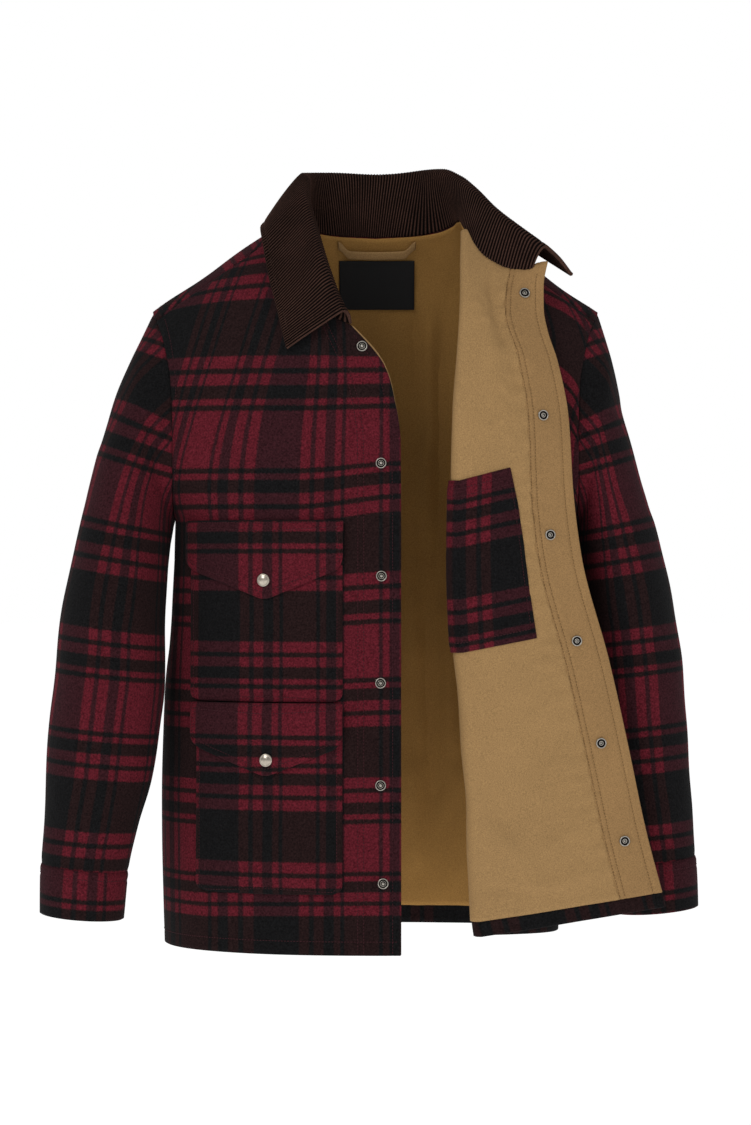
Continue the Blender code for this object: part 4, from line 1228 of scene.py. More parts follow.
def declare(piece, cloth, node):
    """Stands for a node: hangs the piece under the root and hides the node; the widths of its flat cut are
    worked out but not used.
    """
    widths = arc_lengths(cloth.points, 1)[:, -1]
    if cloth.ring:
        widths = widths + np.linalg.norm(cloth.points[:, 0] - cloth.points[:, -1], axis=-1)
    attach(piece, "root")
    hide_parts(node)
    return piece


def front_patch(places, sign=-1):
    """A cloth on the right front from rows of (x, z) places."""
    points = []
    for row in places:
        line_of = []
        for x, z in row:
            v = (z - HEM) / (UNDERARM - HEM)
            line_of.append(tuple(right_front(on_front(x, z), v)))
        points.append(line_of)
    made = Cloth(points, sign)
    made.us = np.arange(len(places[0]), dtype=float)
    made.vs = np.arange(len(places), dtype=float)
    return made


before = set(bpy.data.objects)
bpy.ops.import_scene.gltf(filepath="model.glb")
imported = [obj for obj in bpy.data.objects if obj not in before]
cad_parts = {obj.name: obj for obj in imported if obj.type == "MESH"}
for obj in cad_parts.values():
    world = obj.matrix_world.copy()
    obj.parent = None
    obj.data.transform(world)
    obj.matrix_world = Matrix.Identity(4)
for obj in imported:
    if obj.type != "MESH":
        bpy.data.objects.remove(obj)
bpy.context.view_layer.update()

wool = make_wool("plaid_wool", 0.86)
tan = make_cloth("tan_cotton", (0.33, 0.197, 0.08), 0.2, 950.0)
# Darker, more saturated copy of the tan cotton for the back lining inside the coat: painted shade and
# painted bounced light from the tan cloth around it
tan_painted_shade = make_cloth("tan_cotton_painted_shade", (0.34, 0.18, 0.048), 0.18, 950.0)
tan_facing = make_cloth("tan_cotton_facing", (0.30, 0.174, 0.07), 0.2, 950.0)
corduroy = make_corduroy("brown_corduroy")
label_cloth = make_cloth("dark_label", (0.012, 0.012, 0.0125), 0.15, 1500.0, 0.0002, 0.7)
pewter = make_metal("pewter_snap", (0.42, 0.39, 0.345), 0.34)
cap_metal = make_metal("pewter_cap", (0.52, 0.46, 0.385), 0.3)
wool_thread = make_cloth("wool_thread", (0.045, 0.008, 0.012), 0.2, 1500.0, 0.0001, 0.7)
tan_thread = make_cloth("tan_thread", (0.17, 0.095, 0.035), 0.15, 1500.0, 0.0001, 0.7)
brown_thread = make_cloth("brown_thread", (0.03, 0.013, 0.009), 0.15, 1500.0, 0.0001, 0.7)

front_us = spans((0, 1, 66), (1, 2, 40))
front_vs = spans((0, 1, 110), (1, 2, 76))
front = sample(right_front, front_us, front_vs, -1)
plaid_of_right_front(front)
back_us = spans((0, 1, 110))
back_vs = spans((0, 1, 90), (1, 2, 60))
behind = sample(back, back_us, back_vs, 1)
plaid_of_back(behind)
left_us = spans((0, 1, 24), (1, 2, 14), (2, 3, 50), (3, 4, 36))
left = sample(left_front, left_us, front_vs, 1)
plaid_of_left_front(left)

FRONT_LINES = (1.018, 1.165, 1.79)
HEM_ROW = 13.5 / (UNDERARM - HEM)


def line_grooves(cloth, lines, width, depth):
    arc = arc_lengths(cloth.points, 1)
    total = np.zeros(arc.shape)
    for place in lines:
        _, column = cloth.place(place, 0.5)
        low = int(column)
        share = column - low
        at = arc[:, low] * (1 - share) + arc[:, min(low + 1, arc.shape[1] - 1)] * share
        total += groove(arc - at[:, None], width, depth)
    return total


def hem_groove(cloth):
    heights = (cloth.vs - HEM_ROW)[:, None] * (UNDERARM - HEM)
    return np.broadcast_to(groove(heights, 1.4, 0.6), cloth.points.shape[:2])


# Wool panels
front_heights = front_relief(front.points) + line_grooves(front, FRONT_LINES, 1.5, 0.55)
front_heights = front_heights + hem_groove(front)
front_outer = front.raised(front_heights)
front_inner = front.raised(front_heights, WOOL)
right_front_piece = shell("right_front_wool", front, front_outer, front_inner, [wool])
declare(right_front_piece, front, "right_front")

back_heights = back_relief(behind.points) + hem_groove(behind)
back_outer = behind.raised(back_heights)
back_piece = shell("back_wool", behind, back_outer, behind.raised(back_heights, WOOL), [wool])
declare(back_piece, behind, "back")

over = np.clip((left.us - 1.6) / 0.6, 0, 1)
left_heights = -open_relief(left.points) * over + soft_waves(left.points, 23, 110, 0.5) * (1 - over)
left_outer = left.raised(left_heights)
left_inner = left.raised(left_heights, WOOL)
left_front_piece = shell("left_front_wool", left, left_outer, left_inner, [wool])
declare(left_front_piece, left, "left_front")

# Linings and facings
hem_v = HEM_BAND / (UNDERARM - HEM)
lined = behind.rows(hem_v, 2)
near_label = near_neck(lined.points)
lining_puff = (
    1.7 * crease_heights(lined.points, LINING_CREASES) + 1.0
    + 0.8 * abs(soft_waves(lined.points, 31, 60, 1.0))
)
lined_relief = back_relief(lined.points)
back_lining = shell(
    "back_lining_cloth", lined,
    lined.raised(lined_relief - lining_puff * (1 - near_label), LINING_FAR),
    lined.raised(lined_relief, LINING_NEAR), [tan_painted_shade],
)
declare(back_lining, lined, "back_lining")

strip = front.columns(1, 2).rows(hem_v, 2)
reach = read_all(FACING_SHOW, strip.points[:, -1, 2], "reach")
strip.points[:, -1] += unit(strip.points[:, -1] - strip.points[:, -2]) * reach[:, None]
strip_heights = front_relief(strip.points)
strip_piece = shell("right_front_facing_cloth", strip, strip.raised(strip_heights, LINING_NEAR),
                    strip.raised(strip_heights, LINING_FAR), [tan])
declare(strip_piece, strip, "right_front_facing")

inner = left.columns(0, 3).rows(hem_v, 2)
inner_over = np.clip((inner.us - 1.6) / 0.6, 0, 1)
along_seam = arc_lengths(inner.points, 0)
near_seam = np.exp(-((inner.us - 3) / 0.22) ** 2) * inner_over
inner_heights = -open_relief(inner.points) * inner_over
inner_heights = inner_heights - puckers(along_seam, 2.0, 21, 0.8) * near_seam
inner_heights = inner_heights - abs(crease_heights(inner.points, SEAM_WRINKLES)) * inner_over
inner_heights = inner_heights + soft_waves(inner.points, 23, 110, 0.5) * (1 - inner_over)
near_heights = -open_relief(inner.points) * inner_over
near_heights = near_heights + soft_waves(inner.points, 23, 110, 0.5) * (1 - inner_over)
left_lining = shell(
    "left_front_lining_cloth", inner, inner.raised(inner_heights - 0.6 * inner_over, LINING_FAR),
    inner.raised(near_heights, LINING_NEAR), [tan],
)
declare(left_lining, inner, "left_front_lining")

facing = left.columns(3, 4).rows(hem_v, 2)
facing_heights = -open_relief(facing.points)
facing_grooves = line_grooves(facing, (3.03, 3.15, 3.80), 1.5, 0.9)
facing_seam = np.exp(-((facing.us - 3.09) / 0.2) ** 2)
facing_grooves = facing_grooves - puckers(arc_lengths(facing.points, 0), 4.0, 12, 0.35) * facing_seam
facing_grooves = facing_grooves + 0.7 * crease_heights(facing.points, SEAM_WRINKLES)
facing_outer = facing.raised(facing_heights - 0.9 - facing_grooves, LINING_FAR)
facing_piece = shell("left_front_facing_cloth", facing, facing_outer,
                     facing.raised(facing_heights, LINING_NEAR), [tan_facing])
declare(facing_piece, facing, "left_front_facing")


# Sleeves and cuffs
SLEEVE_SLANT = Table("z slant", (-655, 0.08), (-490, 0.10), (-346, 0.17), (-190, 0.34), (-120, 0.36))
SLEEVE_REPEAT = Table(
    "level q", (-700, 0.02), (-599.8, 0.5), (-390, 1.5), (-164.6, 2.5), (-40, 3.05),
)


def sleeve_loop(surface, column, other_column):
    number = count(54)
    loop = [surface(column, v) for v in steps(1, 2, number)]
    return loop + [back(other_column, v) for v in steps(2, 1, number)[1:-1]]


def ring_points(loop, table, ring):
    bottom = min(point.z for point in loop)
    top = max(point.z for point in loop)
    outer = Vector((table.read(ring, "outer_x"), 0, table.read(ring, "outer_z")))
    inner_side = Vector((table.read(ring, "inner_x"), 0, table.read(ring, "inner_z")))
    middle = (outer + inner_side) / 2
    middle.y = table.read(ring, "y")
    across = (outer - inner_side) / 2
    depth = table.read(ring, "depth")
    row = []
    for point in loop:
        height = 2 * (point.z - bottom) / (top - bottom) - 1
        angle = math.atan2(point.y / ARMHOLE_HALF_DEPTH, height)
        row.append(tuple(middle + across * math.cos(angle) + Vector((0, depth * math.sin(angle), 0))))
    return np.array(row)


def make_arm(side, loop, table, seed):
    """Sleeve and cuff of one side."""
    start = np.array([tuple(point) for point in loop])
    first = ring_points(loop, table, 1)
    slope = (ring_points(loop, table, 1.05) - first) / 0.05
    places = steps(0, LAST_RING, LAST_RING * count(16))
    rows = []
    for ring in places:
        if ring < 1:
            t = ring
            leave = first - start
            rows.append(start * (2 * t ** 3 - 3 * t ** 2 + 1) + leave * (t ** 3 - 2 * t ** 2 + t)
                        + first * (3 * t ** 2 - 2 * t ** 3) + slope * (t ** 3 - t ** 2))
        else:
            rows.append(ring_points(loop, table, ring))
    rows = np.array(rows)
    cut = places.index(CUFF_RING)
    middles = rows.mean(axis=1)
    arc_down = np.concatenate([[0], np.cumsum(np.linalg.norm(np.diff(middles, axis=0), axis=1))])
    above_seam = arc_down[cut] - arc_down
    around = arc_lengths(np.concatenate([rows, rows[:, :1]], axis=1), 1)
    quarter = len(loop) // 4
    mid_z = middles[::-1, 2]
    mid_x = abs(middles[::-1, 0])
    toward_body = around[:, [quarter]] - around
    made = []
    for name, slot_rows, is_cuff in (("sleeve", slice(0, cut + 1), False),
                                     ("cuff", slice(cut, None), True)):
        cloth = Cloth(rows[slot_rows], 1, ring=True)
        middle = cloth.points.mean(axis=1)
        if np.sum((middle[:, None] - cloth.points) * cloth.inward) < 0:
            cloth.inward = -cloth.inward
        cloth.us = np.arange(cloth.points.shape[1], dtype=float)
        cloth.vs = np.arange(cloth.points.shape[0], dtype=float)
        up = above_seam[slot_rows][:, None]
        cloth.plaid[..., 0] = (0.77 if not is_cuff else 0.74) + toward_body[slot_rows] / 176
        if is_cuff:
            cloth.plaid[..., 1] = (up + 2.6) / 206
        else:
            wide = np.concatenate([cloth.points, cloth.points[:, :1]], axis=1)
            z = wide[..., 2]
            outward = abs(wide[..., 0]) - np.interp(z, mid_z, mid_x)
            level = z - read_all(SLEEVE_SLANT, z, "slant") * outward
            cloth.plaid[..., 1] = read_all(SLEEVE_REPEAT, level, "q")
        heights = sleeve_relief(cloth.points, seed)
        down = arc_down[slot_rows]
        if is_cuff:
            heights = heights * 0.6 + 0.9 + (groove(down - down[0] - 8.5, 1.4, 0.8))[:, None]
            heights += groove(down - down[0], 2.0, 0.9)[:, None]
        else:
            heights = heights * np.clip(down / 30, 0, 1)[:, None]
            heights += (groove(down - down[-1], 4, 0.8) + groove(down, 2.0, 0.7))[:, None]
        outer = cloth.raised(heights)
        piece = shell("%s_%s_wool" % (side, name), cloth, outer, cloth.raised(heights, WOOL), [wool])
        if is_cuff:
            declare(piece, cloth, side + "_cuff")
        else:
            declare(piece, cloth, side + "_sleeve")
        made.append((cloth, outer))
    return made


right_arm = make_arm("right", sleeve_loop(right_front, 0, 0), RIGHT_SLEEVE, 41)
left_arm = make_arm("left", sleeve_loop(left_front, 0, 1), LEFT_SLEEVE, 53)


# Collar
WALE = 3.6
WALE_HEIGHT = 0.9


def neckline():
    """Points of the neckline and directions into the coat, from the right front to the left."""
    rim = []
    for surface, sign, us in (
        (right_front, -1, [blend(2, RIGHT_SHOULDER_SHARE, t) for t in steps(0, 1, 14)][:-1]),
        (back, 1, [blend(BACK_SHOULDER_SHARE, 1 - BACK_SHOULDER_SHARE, t) for t in steps(0, 1, 24)]),
        (left_front, 1, [blend(2.2, 3 + NOTCH, t) for t in steps(0, 1, 14)]),
    ):
        for u in us:
            point = surface(u, 2)
            side = surface(u + 0.002, 2) - surface(u - 0.002, 2)
            up = surface(u, 2) - surface(u, 1.996)
            rim.append((point, side.cross(up).normalized() * sign))
    return rim


def collar_sections(stations):
    rim = neckline()
    points = np.array([tuple(point) for point, _ in rim])
    inwards = np.array([tuple(direction) for _, direction in rim])
    arc = np.concatenate([[0], np.cumsum(np.linalg.norm(np.diff(points, axis=0), axis=1))])
    sections = []
    for s in steps(0, 1, stations):
        at = s * arc[-1]
        point = Vector([float(np.interp(at, arc, points[:, k])) for k in range(3)])
        roll = collar_line("roll_", s)
        edge = collar_line("edge_", s)
        tangent = collar_line("roll_", min(s + ROLL_STEP, 1)) - collar_line("roll_", max(s - ROLL_STEP, 0))
        tangent = tangent.normalized()
        stand = roll - point
        stand = (stand - tangent * stand.dot(tangent)).normalized()
        out = stand.cross(tangent)
        section = [point]
        for share, bulge in STAND_BULGE:
            section.append(blend(point, roll, share) - out * bulge)
        leaf = edge - roll
        end = min(math.atan2(-leaf.dot(stand), leaf.dot(out)), math.pi / 2)
        for angle in steps(-math.pi / 2, end, ROLL_STEPS):
            radial = out * math.sin(angle) + stand * math.cos(angle)
            section.append(roll + radial * COLLAR_ROLL)
        for k in range(1, 5):
            if section[k].x > NECK_POINT:
                section[k] = off_coat(section[k])
        foot = section[-1]
        section[-1] = off_coat(section[-1])
        section.append(off_coat(blend(foot, edge, 0.5) + stand * LEAF_BULGE))
        section.append(off_coat(edge))
        sections.append([tuple(place) for place in section])
    return np.array(sections).transpose(1, 0, 2)


def make_collar():
    coarse = collar_sections(count(72))
    down = arc_lengths(coarse, 0).mean(axis=1)
    row_places = np.interp(np.linspace(0, down[-1], count(46) + 1), down, range(len(down)))
    rows = smooth_read(coarse, row_places)
    across = arc_lengths(rows, 1).mean(axis=0)
    wales = int(across[-1] / WALE)
    stations = wales * 4 + 1
    places = np.interp(np.linspace(0, across[-1], stations), across, range(len(across)))
    points = smooth_read(rows.transpose(1, 0, 2), places).transpose(1, 0, 2)
    cloth = Cloth(points, -1)
    for _ in range(6):
        cloth.inward[1:-1] = unit(cloth.inward[:-2] + 2 * cloth.inward[1:-1] + cloth.inward[2:])
    cloth.us = np.linspace(0, 1, stations)
    cloth.vs = np.linspace(0, 1, len(points))
    cloth.plaid[..., 0] = cloth.us * wales
    cloth.plaid[..., 1] = cloth.vs[:, None]
    wave = np.cos(2 * math.pi * wales * cloth.us)[None, :]
    wale = WALE_HEIGHT * (abs((wave + 1) / 2) ** 0.6 - 1)
    ends = np.minimum(cloth.us, 1 - cloth.us)[None, :] * across[-1]
    leaf = (1 - cloth.vs)[:, None] * down[-1]
    seam_line = groove(leaf - 8, 1.3, 0.7) * np.clip(ends / 8, 0, 1) + groove(ends - 8, 1.3, 0.7)
    waves = soft_waves(cloth.points, 61, 70, 0.5)
    edge_puff = 0.5 * np.exp(-(leaf / 4) ** 2)
    outer = cloth.raised(COLLAR_WALL + wale + seam_line + waves + edge_puff)
    under = cloth.raised(waves * 0.5)
    piece = shell("collar_corduroy", cloth, outer, under, [corduroy])
    declare(piece, cloth, "collar")
    return cloth, outer


collar, collar_outer = make_collar()


# Pockets and flaps
PATTERN_LEFT = -77.9
PATTERN_WIDTH = 167
PATTERN_HEIGHT = 203


def ease(value):
    value = np.clip(value, 0, 1)
    return value * value * (3 - 2 * value)


def rounded(depth, radius):
    """How far a side draws in at a height above a rounded lower corner."""
    short = max(radius - depth, 0.0)
    return radius - math.sqrt(max(radius * radius - short * short, 0.0))


def patch_piece(name, node, places, red_height, lift, edge, middle, soft):
    """A patch on the right front: thin at its sewn edges and fuller inside."""
    cloth = front_patch(places)
    flat = np.array(places)
    cloth.plaid[..., 0] = -(flat[..., 0] - PATTERN_LEFT) / PATTERN_WIDTH
    cloth.plaid[..., 1] = (red_height - flat[..., 1]) / PATTERN_HEIGHT
    around = arc_lengths(cloth.points, 1)
    down = arc_lengths(cloth.points, 0)
    inside = np.minimum(np.minimum(around, around[:, -1:] - around), down)
    relief = front_relief(cloth.points)
    heights = relief + edge + (middle - edge) * ease(inside / soft)
    heights = heights + 0.4 * soft_waves(cloth.points, len(name), 60, 1.0) * ease(inside / soft)
    outer = cloth.raised(heights)
    piece = shell(name, cloth, outer, cloth.raised(relief + lift), [wool])
    declare(piece, cloth, node)
    return cloth, outer


def pocket_places(index, corner=9.0):
    pocket = {key: POCKETS.read(index, key) for key in POCKETS.names}
    places = []
    for z in steps(pocket["bottom"], pocket["top"], count(60)):
        inset = rounded(z - pocket["bottom"], corner)
        places.append([(x, z) for x in steps(pocket["left"] + inset, pocket["right"] - inset, count(52))])
    return places


def flap_places(index, corner=11.0, tip_round=7.0):
    """Rows from the pointed lower edge up to the seam."""
    flap = {key: FLAPS.read(index, key) for key in FLAPS.names}
    columns = count(80)
    feet = []
    for x in steps(flap["left"], flap["right"], columns):
        if x <= flap["point"]:
            reach = (x - flap["left"]) / (flap["point"] - flap["left"])
        else:
            reach = (flap["right"] - x) / (flap["right"] - flap["point"])
        slope = (flap["side"] - flap["tip"]) / (flap["point"] - flap["left"])
        foot = flap["side"] - (flap["side"] - flap["tip"]) * reach
        from_side = min(x - flap["left"], flap["right"] - x)
        foot += rounded(from_side, corner) * 0.8
        from_tip = abs(x - flap["point"])
        foot += slope * max(tip_round - from_tip, 0) ** 2 / (2 * tip_round)
        feet.append((x, foot))
    return [[(x, blend(foot, flap["top"], share)) for x, foot in feet]
            for share in steps(0, 1, count(30))]


CHEST_RED = -404.8 + PATTERN_HEIGHT / 2
LOWER_RED = -632 + PATTERN_HEIGHT / 2
chest_pocket = patch_piece("chest_pocket_wool", "chest_pocket", pocket_places(0), CHEST_RED,
                           0.3, 2.6, CHEST_POCKET_FAR + 0.7, 14)
lower_pocket = patch_piece("lower_pocket_wool", "lower_pocket", pocket_places(1), LOWER_RED,
                           0.3, 2.9, LOWER_POCKET_FAR + 0.6, 14)


def flap_piece(name, node, index, red_height, base):
    places = flap_places(index)
    cloth = front_patch(places)
    flat = np.array(places)
    cloth.plaid[..., 0] = -(flat[..., 0] - PATTERN_LEFT) / PATTERN_WIDTH
    cloth.plaid[..., 1] = (red_height - flat[..., 1]) / PATTERN_HEIGHT
    down = cloth.vs[:, None] / cloth.vs[-1]
    around = arc_lengths(cloth.points, 1)
    side = np.minimum(around, around[:, -1:] - around)
    foot = arc_lengths(cloth.points, 0)
    relief = front_relief(cloth.points)
    stand = base + 0.5 + 1.1 * (1 - down) + 0.5 * soft_waves(cloth.points, index + 5, 70, 1.0) * (1 - down)
    stand = stand - 1.6 * ease((down - 0.86) / 0.14)
    line_in = np.minimum(side, foot)
    thick = 3.2 + groove(line_in - 6.5, 1.3, 0.6) - 0.9 * (1 - ease(line_in / 3.0))
    outer = cloth.raised(relief + stand + thick)
    piece = shell(name, cloth, outer, cloth.raised(relief + stand), [wool])
    declare(piece, cloth, node)
    return cloth, outer


chest_flap = flap_piece("chest_flap_wool", "chest_flap", 0, -366, CHEST_POCKET_FAR)
lower_flap = flap_piece("lower_flap_wool", "lower_flap", 1, -501.5, LOWER_POCKET_FAR)


# Inner pocket, label and hanger loop
def inner_pocket_piece():
    rows = []
    for share in steps(0, 1, count(50)):
        v_fold = blend(INNER_POCKET["bottom_v"], INNER_POCKET["top_v"], share)
        end_x = blend(INNER_POCKET["right_low"], INNER_POCKET["right_high"], share)
        fold_x, _ = fold_place(v_fold)
        seam_x = left_front(3, v_fold).x
        u_end = 2 + (end_x - fold_x) / (seam_x - fold_x)
        rise = blend(INNER_POCKET["rise_low"], INNER_POCKET["rise_high"], share)
        row = []
        for u in spans((1.5, 2, 8), (2, u_end, 36)):
            v = v_fold + rise * max(u - 2, 0) / (u_end - 2)
            row.append(tuple(left_front(u, v)))
        rows.append(row)
    cloth = Cloth(rows, 1)
    rows_count, columns_count = cloth.points.shape[:2]
    cloth.us = np.arange(columns_count, dtype=float)
    cloth.vs = np.arange(rows_count, dtype=float)
    around = arc_lengths(cloth.points, 1)
    down = arc_lengths(cloth.points, 0)
    cloth.plaid[..., 0] = 0.13 + around / 176
    cloth.plaid[..., 1] = 0.898 - down / 206
    edge = np.minimum(np.minimum(around + 20, around[:, -1:] - around), down)
    edge = np.minimum(edge, down[-1:] - down)
    relief = -open_relief(cloth.points)
    heights = relief - 1.6 - 1.2 * ease(edge / 10)
    near = LINING_FAR + INNER_POCKET["lift"] - 0.2
    outer = cloth.raised(heights - groove(edge - 4, 1.2, -0.5) * -1, near)
    piece = shell("inner_pocket_wool", cloth, outer, cloth.raised(relief, near), [wool])
    declare(piece, cloth, "inner_pocket")
    return cloth, outer


inner_pocket = inner_pocket_piece()


def inside_cloth(places):
    """A cloth on the inner side of the back, with its directions turned into the coat."""
    points = []
    directions = []
    for row in places:
        read = [back_inside(x, z) for x, z in row]
        points.append([tuple(point) for point, _ in read])
        directions.append([tuple(direction) for _, direction in read])
    cloth = Cloth(points, 1)
    cloth.inward = np.array(directions)
    cloth.us = np.arange(len(places[0]), dtype=float)
    cloth.vs = np.arange(len(places), dtype=float)
    return cloth


label_rows = [[(x, z) for x in steps(LABEL["left"], LABEL["right"], 40)]
              for z in steps(LABEL["bottom"], LABEL["top"], 26)]
label_ground = inside_cloth(label_rows)
label_waves = soft_waves(label_ground.points, 71, 60, 0.3)
label_near = LINING_FAR + LABEL["lift"]
label_outer = label_ground.raised(label_waves - LABEL["wall"], label_near)
label_piece = shell("label_cloth", label_ground, label_outer,
                    label_ground.raised(label_waves, label_near), [label_cloth])
declare(label_piece, label_ground, "label")

loop_rows = []
for across in steps(-0.5, 0.5, 6):
    loop_row = []
    for a in steps(0, 1, 60):
        swing = float(ease(min(a, 1 - a) / 0.15))
        z = LOOP["top"] - LOOP["hang"] * swing + LOOP["width"] * across
        loop_row.append((blend(LOOP["left"], LOOP["right"], a), z))
    loop_rows.append(loop_row)
loop_ground = inside_cloth(loop_rows)
swings = np.sin(np.linspace(0, math.pi, loop_ground.points.shape[1]))[None, :]
loop_near = LINING_FAR + LOOP["lift"]
loop_stand = LOOP["stand"] * swings
loop_crown = 0.5 * np.cos(np.linspace(-1.4, 1.4, 7))[:, None]
loop_piece = shell(
    "hanger_loop_cloth", loop_ground,
    loop_ground.raised(-loop_stand - LOOP["wall"] - loop_crown, loop_near),
    loop_ground.raised(-loop_stand, loop_near), [tan],
)
declare(loop_piece, loop_ground, "hanger_loop")


# Snaps: rings of radius and height, and whether the band from the ring before them is painted near black
# as shade
STUD_RINGS = (
    (5.6, 0.4, 1), (5.6, 1.4, 0), (5.3, 1.8, 0), (4.9, 1.9, 0), (4.5, 1.75, 0), (4.3, 1.2, 1),
    (3.3, 0.9, 1), (3.1, 1.5, 1), (2.9, 1.8, 0), (2.5, 1.7, 0), (2.4, 1.1, 1), (1.7, 0.9, 1),
    (1.65, 2.6, 0), (1.3, 3.1, 0), (0.7, 3.3, 0), (0.05, 3.35, 0),
)
SOCKET_RINGS = (
    (5.6, 0.4, 1), (5.6, 1.5, 0), (5.3, 1.9, 0), (4.9, 2.0, 0), (4.4, 1.8, 0), (4.1, 1.2, 1),
    (2.6, 0.9, 1), (2.5, 1.4, 1), (2.3, 1.7, 0), (1.7, 1.6, 0), (1.4, 1.1, 1), (1.0, 0.9, 1),
    (0.8, 1.2, 0), (0.05, 1.3, 0),
)
CAP_RINGS = (
    (6.8, 0.4, 0), (6.85, 1.1, 0), (6.5, 1.7, 0), (5.9, 1.9, 0), (5.4, 1.75, 0), (5.0, 1.8, 0),
    (4.2, 2.3, 0), (3.0, 2.75, 0), (1.6, 3.0, 0), (0.05, 3.1, 0),
)
SNAP_SIDES = 36
# Near-black metal laid on the snaps' grooves: painted shade
snap_painted_shade = make_metal("pewter_painted_shade", (0.012, 0.011, 0.01), 0.6)


def turned_snap(node, place, outward, rings, material):
    outward = Vector(outward).normalized()
    side = outward.cross(Vector((0, 0, 1))).normalized()
    other = outward.cross(side)
    vertices = []
    for radius, height, _ in rings:
        for k in range(SNAP_SIDES):
            angle = 2 * math.pi * k / SNAP_SIDES
            spoke = side * math.cos(angle) + other * math.sin(angle)
            vertices.append(tuple(Vector(place) + spoke * radius + outward * height))
    faces = []
    slots = []
    for level, ring in enumerate(rings[1:]):
        for k in range(SNAP_SIDES):
            a = level * SNAP_SIDES + k
            b = level * SNAP_SIDES + (k + 1) % SNAP_SIDES
            faces.append((a, b, b + SNAP_SIDES, a + SNAP_SIDES))
            slots.append(ring[2])
    faces.append(tuple(reversed(range(SNAP_SIDES))))
    faces.append(tuple(range(len(vertices) - SNAP_SIDES, len(vertices))))
    slots += [0, 0]
    made = add_mesh(node + "_turned", vertices, faces, [material, snap_painted_shade], slots)
    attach(made, "root")
    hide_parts(node)


def relief_at(relief, point):
    return float(relief(np.array([[tuple(point)]]))[0, 0])


for number, (x, z) in enumerate(STUD_PLACES, start=1):
    point, outward = front_outside(x, z)
    rise = relief_at(front_relief, point)
    turned_snap("stud_%d" % number, point + outward * rise, outward, STUD_RINGS, pewter)
for number, (x, z) in enumerate(SOCKET_PLACES, start=1):
    u, v = open_place(x, z)
    point, outward = surface_frame(left_front, u, v, 1)
    rise = LINING_FAR + relief_at(open_relief, point) + 0.9
    turned_snap("socket_%d" % number, point + outward * rise, outward, SOCKET_RINGS, pewter)
for node, (x, z), (flap_cloth, flap_outer) in (
    ("chest_flap_cap", CHEST_CAP, chest_flap), ("lower_flap_cap", LOWER_CAP, lower_flap),
):
    point, outward = front_outside(x, z)
    gaps = np.linalg.norm(flap_outer - np.array(tuple(point)), axis=-1)
    offset = flap_outer - np.array(tuple(point))
    aside = np.linalg.norm(offset - (offset @ np.array(tuple(outward)))[..., None]
                           * np.array(tuple(outward)), axis=-1)
    nearest = np.unravel_index(np.argmin(aside), aside.shape)
    rise = float(offset[nearest] @ np.array(tuple(outward)))
    turned_snap(node, point + outward * (rise - 0.3), outward, CAP_RINGS, cap_metal)


# Stitching
front_stitches = Stitches("front_stitching", wool_thread)
for u, start, end in ((1.018, 0.002, 1.985), (1.165, 0.002, 1.97), (1.79, 0.002, 1.93)):
    front_stitches.on(front, front_outer, line([(u, start), (u, end)], 300))
front_stitches.on(front, front_outer, line([(0.01, HEM_ROW), (1.99, HEM_ROW)], 300))
front_stitches.on(front, front_outer, line([(0.035, 1.02), (0.035, 1.97)], 200))
front_stitches.finish()

back_stitches = Stitches("back_stitching", wool_thread)
back_stitches.on(behind, back_outer, line([(0.01, HEM_ROW), (0.99, HEM_ROW)], 300))
for u in (0.02, 0.98):
    back_stitches.on(behind, back_outer, line([(u, 1.02), (u, 1.97)], 200))
back_stitches.finish()

arm_stitches = Stitches("sleeve_stitching", wool_thread)
for arm in (right_arm, left_arm):
    cuff_cloth, cuff_outer = arm[1]
    drop = arc_lengths(cuff_cloth.points, 0).mean(axis=1)
    row = float(np.interp(8.5, drop, range(len(drop))))
    last = cuff_cloth.points.shape[1] - 1
    arm_stitches.on(cuff_cloth, cuff_outer, line([(0, row), (last, row)], 400))
arm_stitches.finish()


def inset_path(cloth, inset, top):
    """Places at a distance inside the sides and lower edge of a patch, from the top round."""
    around = arc_lengths(cloth.points, 1)
    down = arc_lengths(cloth.points, 0)
    rows, columns = around.shape
    left_side = []
    right_side = []
    for j in range(rows - 1, -1, -1):
        low_row = down[j].mean()
        if low_row < inset or j > top * (rows - 1):
            continue
        left_side.append((float(np.interp(inset, around[j], range(columns))), float(j)))
        right_side.append((float(np.interp(around[j, -1] - inset, around[j], range(columns))), float(j)))
    bottom = []
    first = int(left_side[-1][0]) + 1
    last = int(right_side[-1][0])
    for i in range(first, last + 1):
        bottom.append((float(i), float(np.interp(inset, down[:, i], range(rows)))))
    return left_side + bottom + right_side[::-1]


pocket_stitches = Stitches("pocket_stitching", wool_thread)
for cloth, outer in (chest_pocket, lower_pocket):
    pocket_stitches.on(cloth, outer, inset_path(cloth, 5.0, 1.0))
for cloth, outer in (chest_flap, lower_flap):
    pocket_stitches.on(cloth, outer, inset_path(cloth, 6.5, 0.93))
    rows = cloth.vs[-1]
    columns = cloth.us[-1]
    height = arc_lengths(cloth.points, 0).mean(axis=1)
    for depth in (1.6, 8.2):
        row = float(np.interp(height[-1] - depth, height, cloth.vs))
        pocket_stitches.on(cloth, outer, line([(0.5, row), (columns - 0.5, row)], 200))
pocket_stitches.finish()

facing_stitches = Stitches("facing_stitching", tan_thread)
for u in (3.03, 3.15):
    facing_stitches.on(facing, facing_outer, line([(u, 0.04), (u, 1.98)], 300), outward=1)
facing_stitches.on(facing, facing_outer, line([(3.80, 0.04), (3.80, 1.96)], 300), outward=1)
facing_stitches.finish()

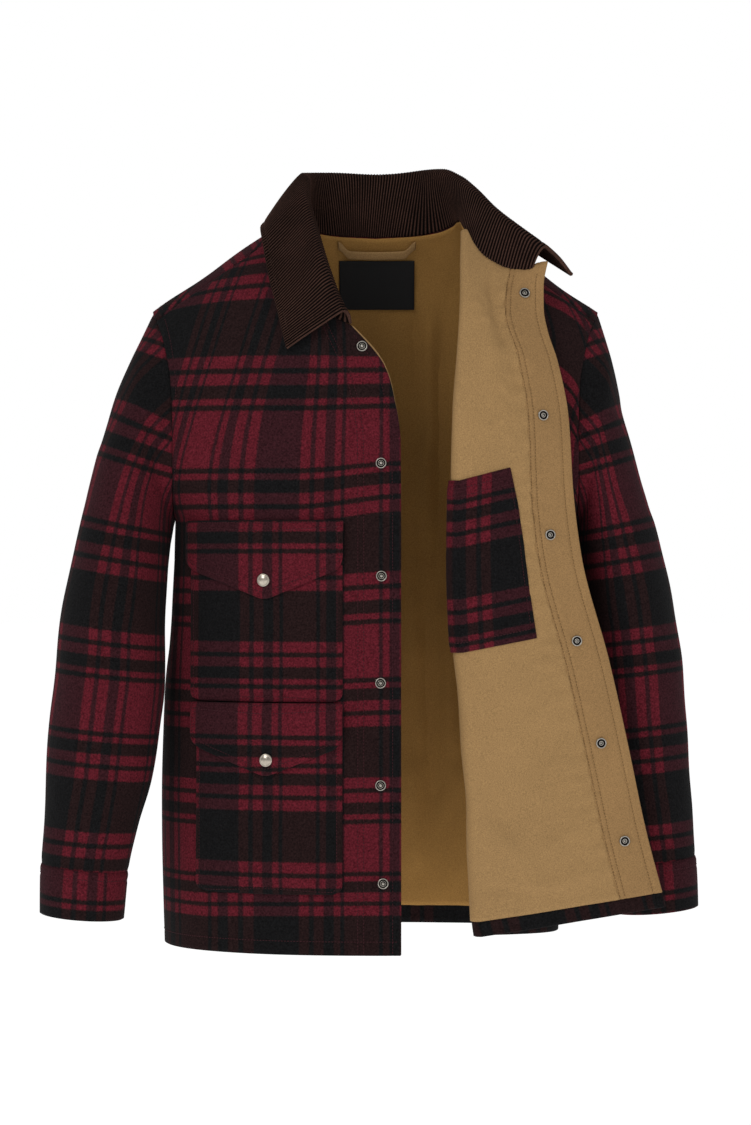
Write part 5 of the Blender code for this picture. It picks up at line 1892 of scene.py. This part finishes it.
inner_stitches = Stitches("inner_pocket_stitching", wool_thread)
inner_cloth, inner_outer = inner_pocket
inner_last = (inner_cloth.us[-1], inner_cloth.vs[-1])
inner_stitches.on(inner_cloth, inner_outer, line([
    (2, 2.5), (inner_last[0] - 2, 2.5), (inner_last[0] - 2, inner_last[1] - 1),
], 120), outward=1)
for drop in (3, 6):
    inner_stitches.on(inner_cloth, inner_outer, line([
        (2, inner_last[1] - drop), (inner_last[0] - 1, inner_last[1] - drop)], 120), outward=1)
inner_stitches.finish()

collar_stitches = Stitches("collar_stitching", brown_thread)
leaf_row = 1 - 8 / float(arc_lengths(collar.points, 0)[-1].mean())
collar_stitches.on(collar, collar_outer, line([(0.02, leaf_row), (0.98, leaf_row)], 500))
collar_stitches.finish()


# Studio
FLOOR = -1250
FLOOR_REACH = 40000
AMBIENT = 0.42
WHITE = (1, 1, 1, 1)


def make_stage():
    """A plain pale floor, open all round so that every view is clear."""
    nodes = Nodes("studio_white", 0.9)
    nodes.shader.inputs["Specular IOR Level"].default_value = 0.1
    nodes.shader.inputs["Emission Color"].default_value = WHITE
    nodes.shader.inputs["Emission Strength"].default_value = 0.64
    paper = nodes.colour((0.93, 0.93, 0.93, 1))
    corners = [(-1, -1), (1, -1), (1, 1), (-1, 1)]
    floor = add_mesh("floor", [(x * FLOOR_REACH, y * FLOOR_REACH, FLOOR) for x, y in corners],
                     [(0, 1, 2, 3)], [paper])


def make_world():
    """Soft even light; the background itself is seen as plain white."""
    world = bpy.data.worlds.new("studio")
    world.use_nodes = True
    tree = world.node_tree
    background = tree.nodes["Background"]
    background.inputs["Color"].default_value = WHITE
    seen = tree.nodes.new("ShaderNodeLightPath").outputs["Is Camera Ray"]
    level = tree.nodes.new("ShaderNodeMapRange")
    level.inputs["To Min"].default_value = AMBIENT
    level.inputs["To Max"].default_value = 1.0
    tree.links.new(seen, level.inputs["Value"])
    tree.links.new(level.outputs["Result"], background.inputs["Strength"])
    bpy.context.scene.world = world


def add_light(name, place, target, size, power, colour=(1, 1, 1)):
    data = bpy.data.lights.new(name, "AREA")
    data.shape = "DISK"
    data.size = size
    data.energy = power
    data.color = colour
    lamp = bpy.data.objects.new(name, data)
    lamp.location = place
    lamp.rotation_euler = (Vector(target) - Vector(place)).to_track_quat("-Z", "Y").to_euler()
    bpy.context.scene.collection.objects.link(lamp)


make_stage()
add_light("key", (-1.9, -2.6, 2.0), (0, 0, -0.35), 1.8, 38)
add_light("fill", (2.2, -2.6, 0.4), (0, 0, -0.4), 2.2, 8)
make_world()
bpy.context.scene.view_settings.view_transform = "Standard"

camera_data = bpy.data.cameras.new("camera")
camera_data.lens = 95.27
camera_data.sensor_width = 36
camera = bpy.data.objects.new("camera", camera_data)
camera.location = (0, -3.2, -0.349)
camera.rotation_euler = (math.radians(90), 0, 0)
bpy.context.scene.collection.objects.link(camera)
bpy.context.scene.camera = camera
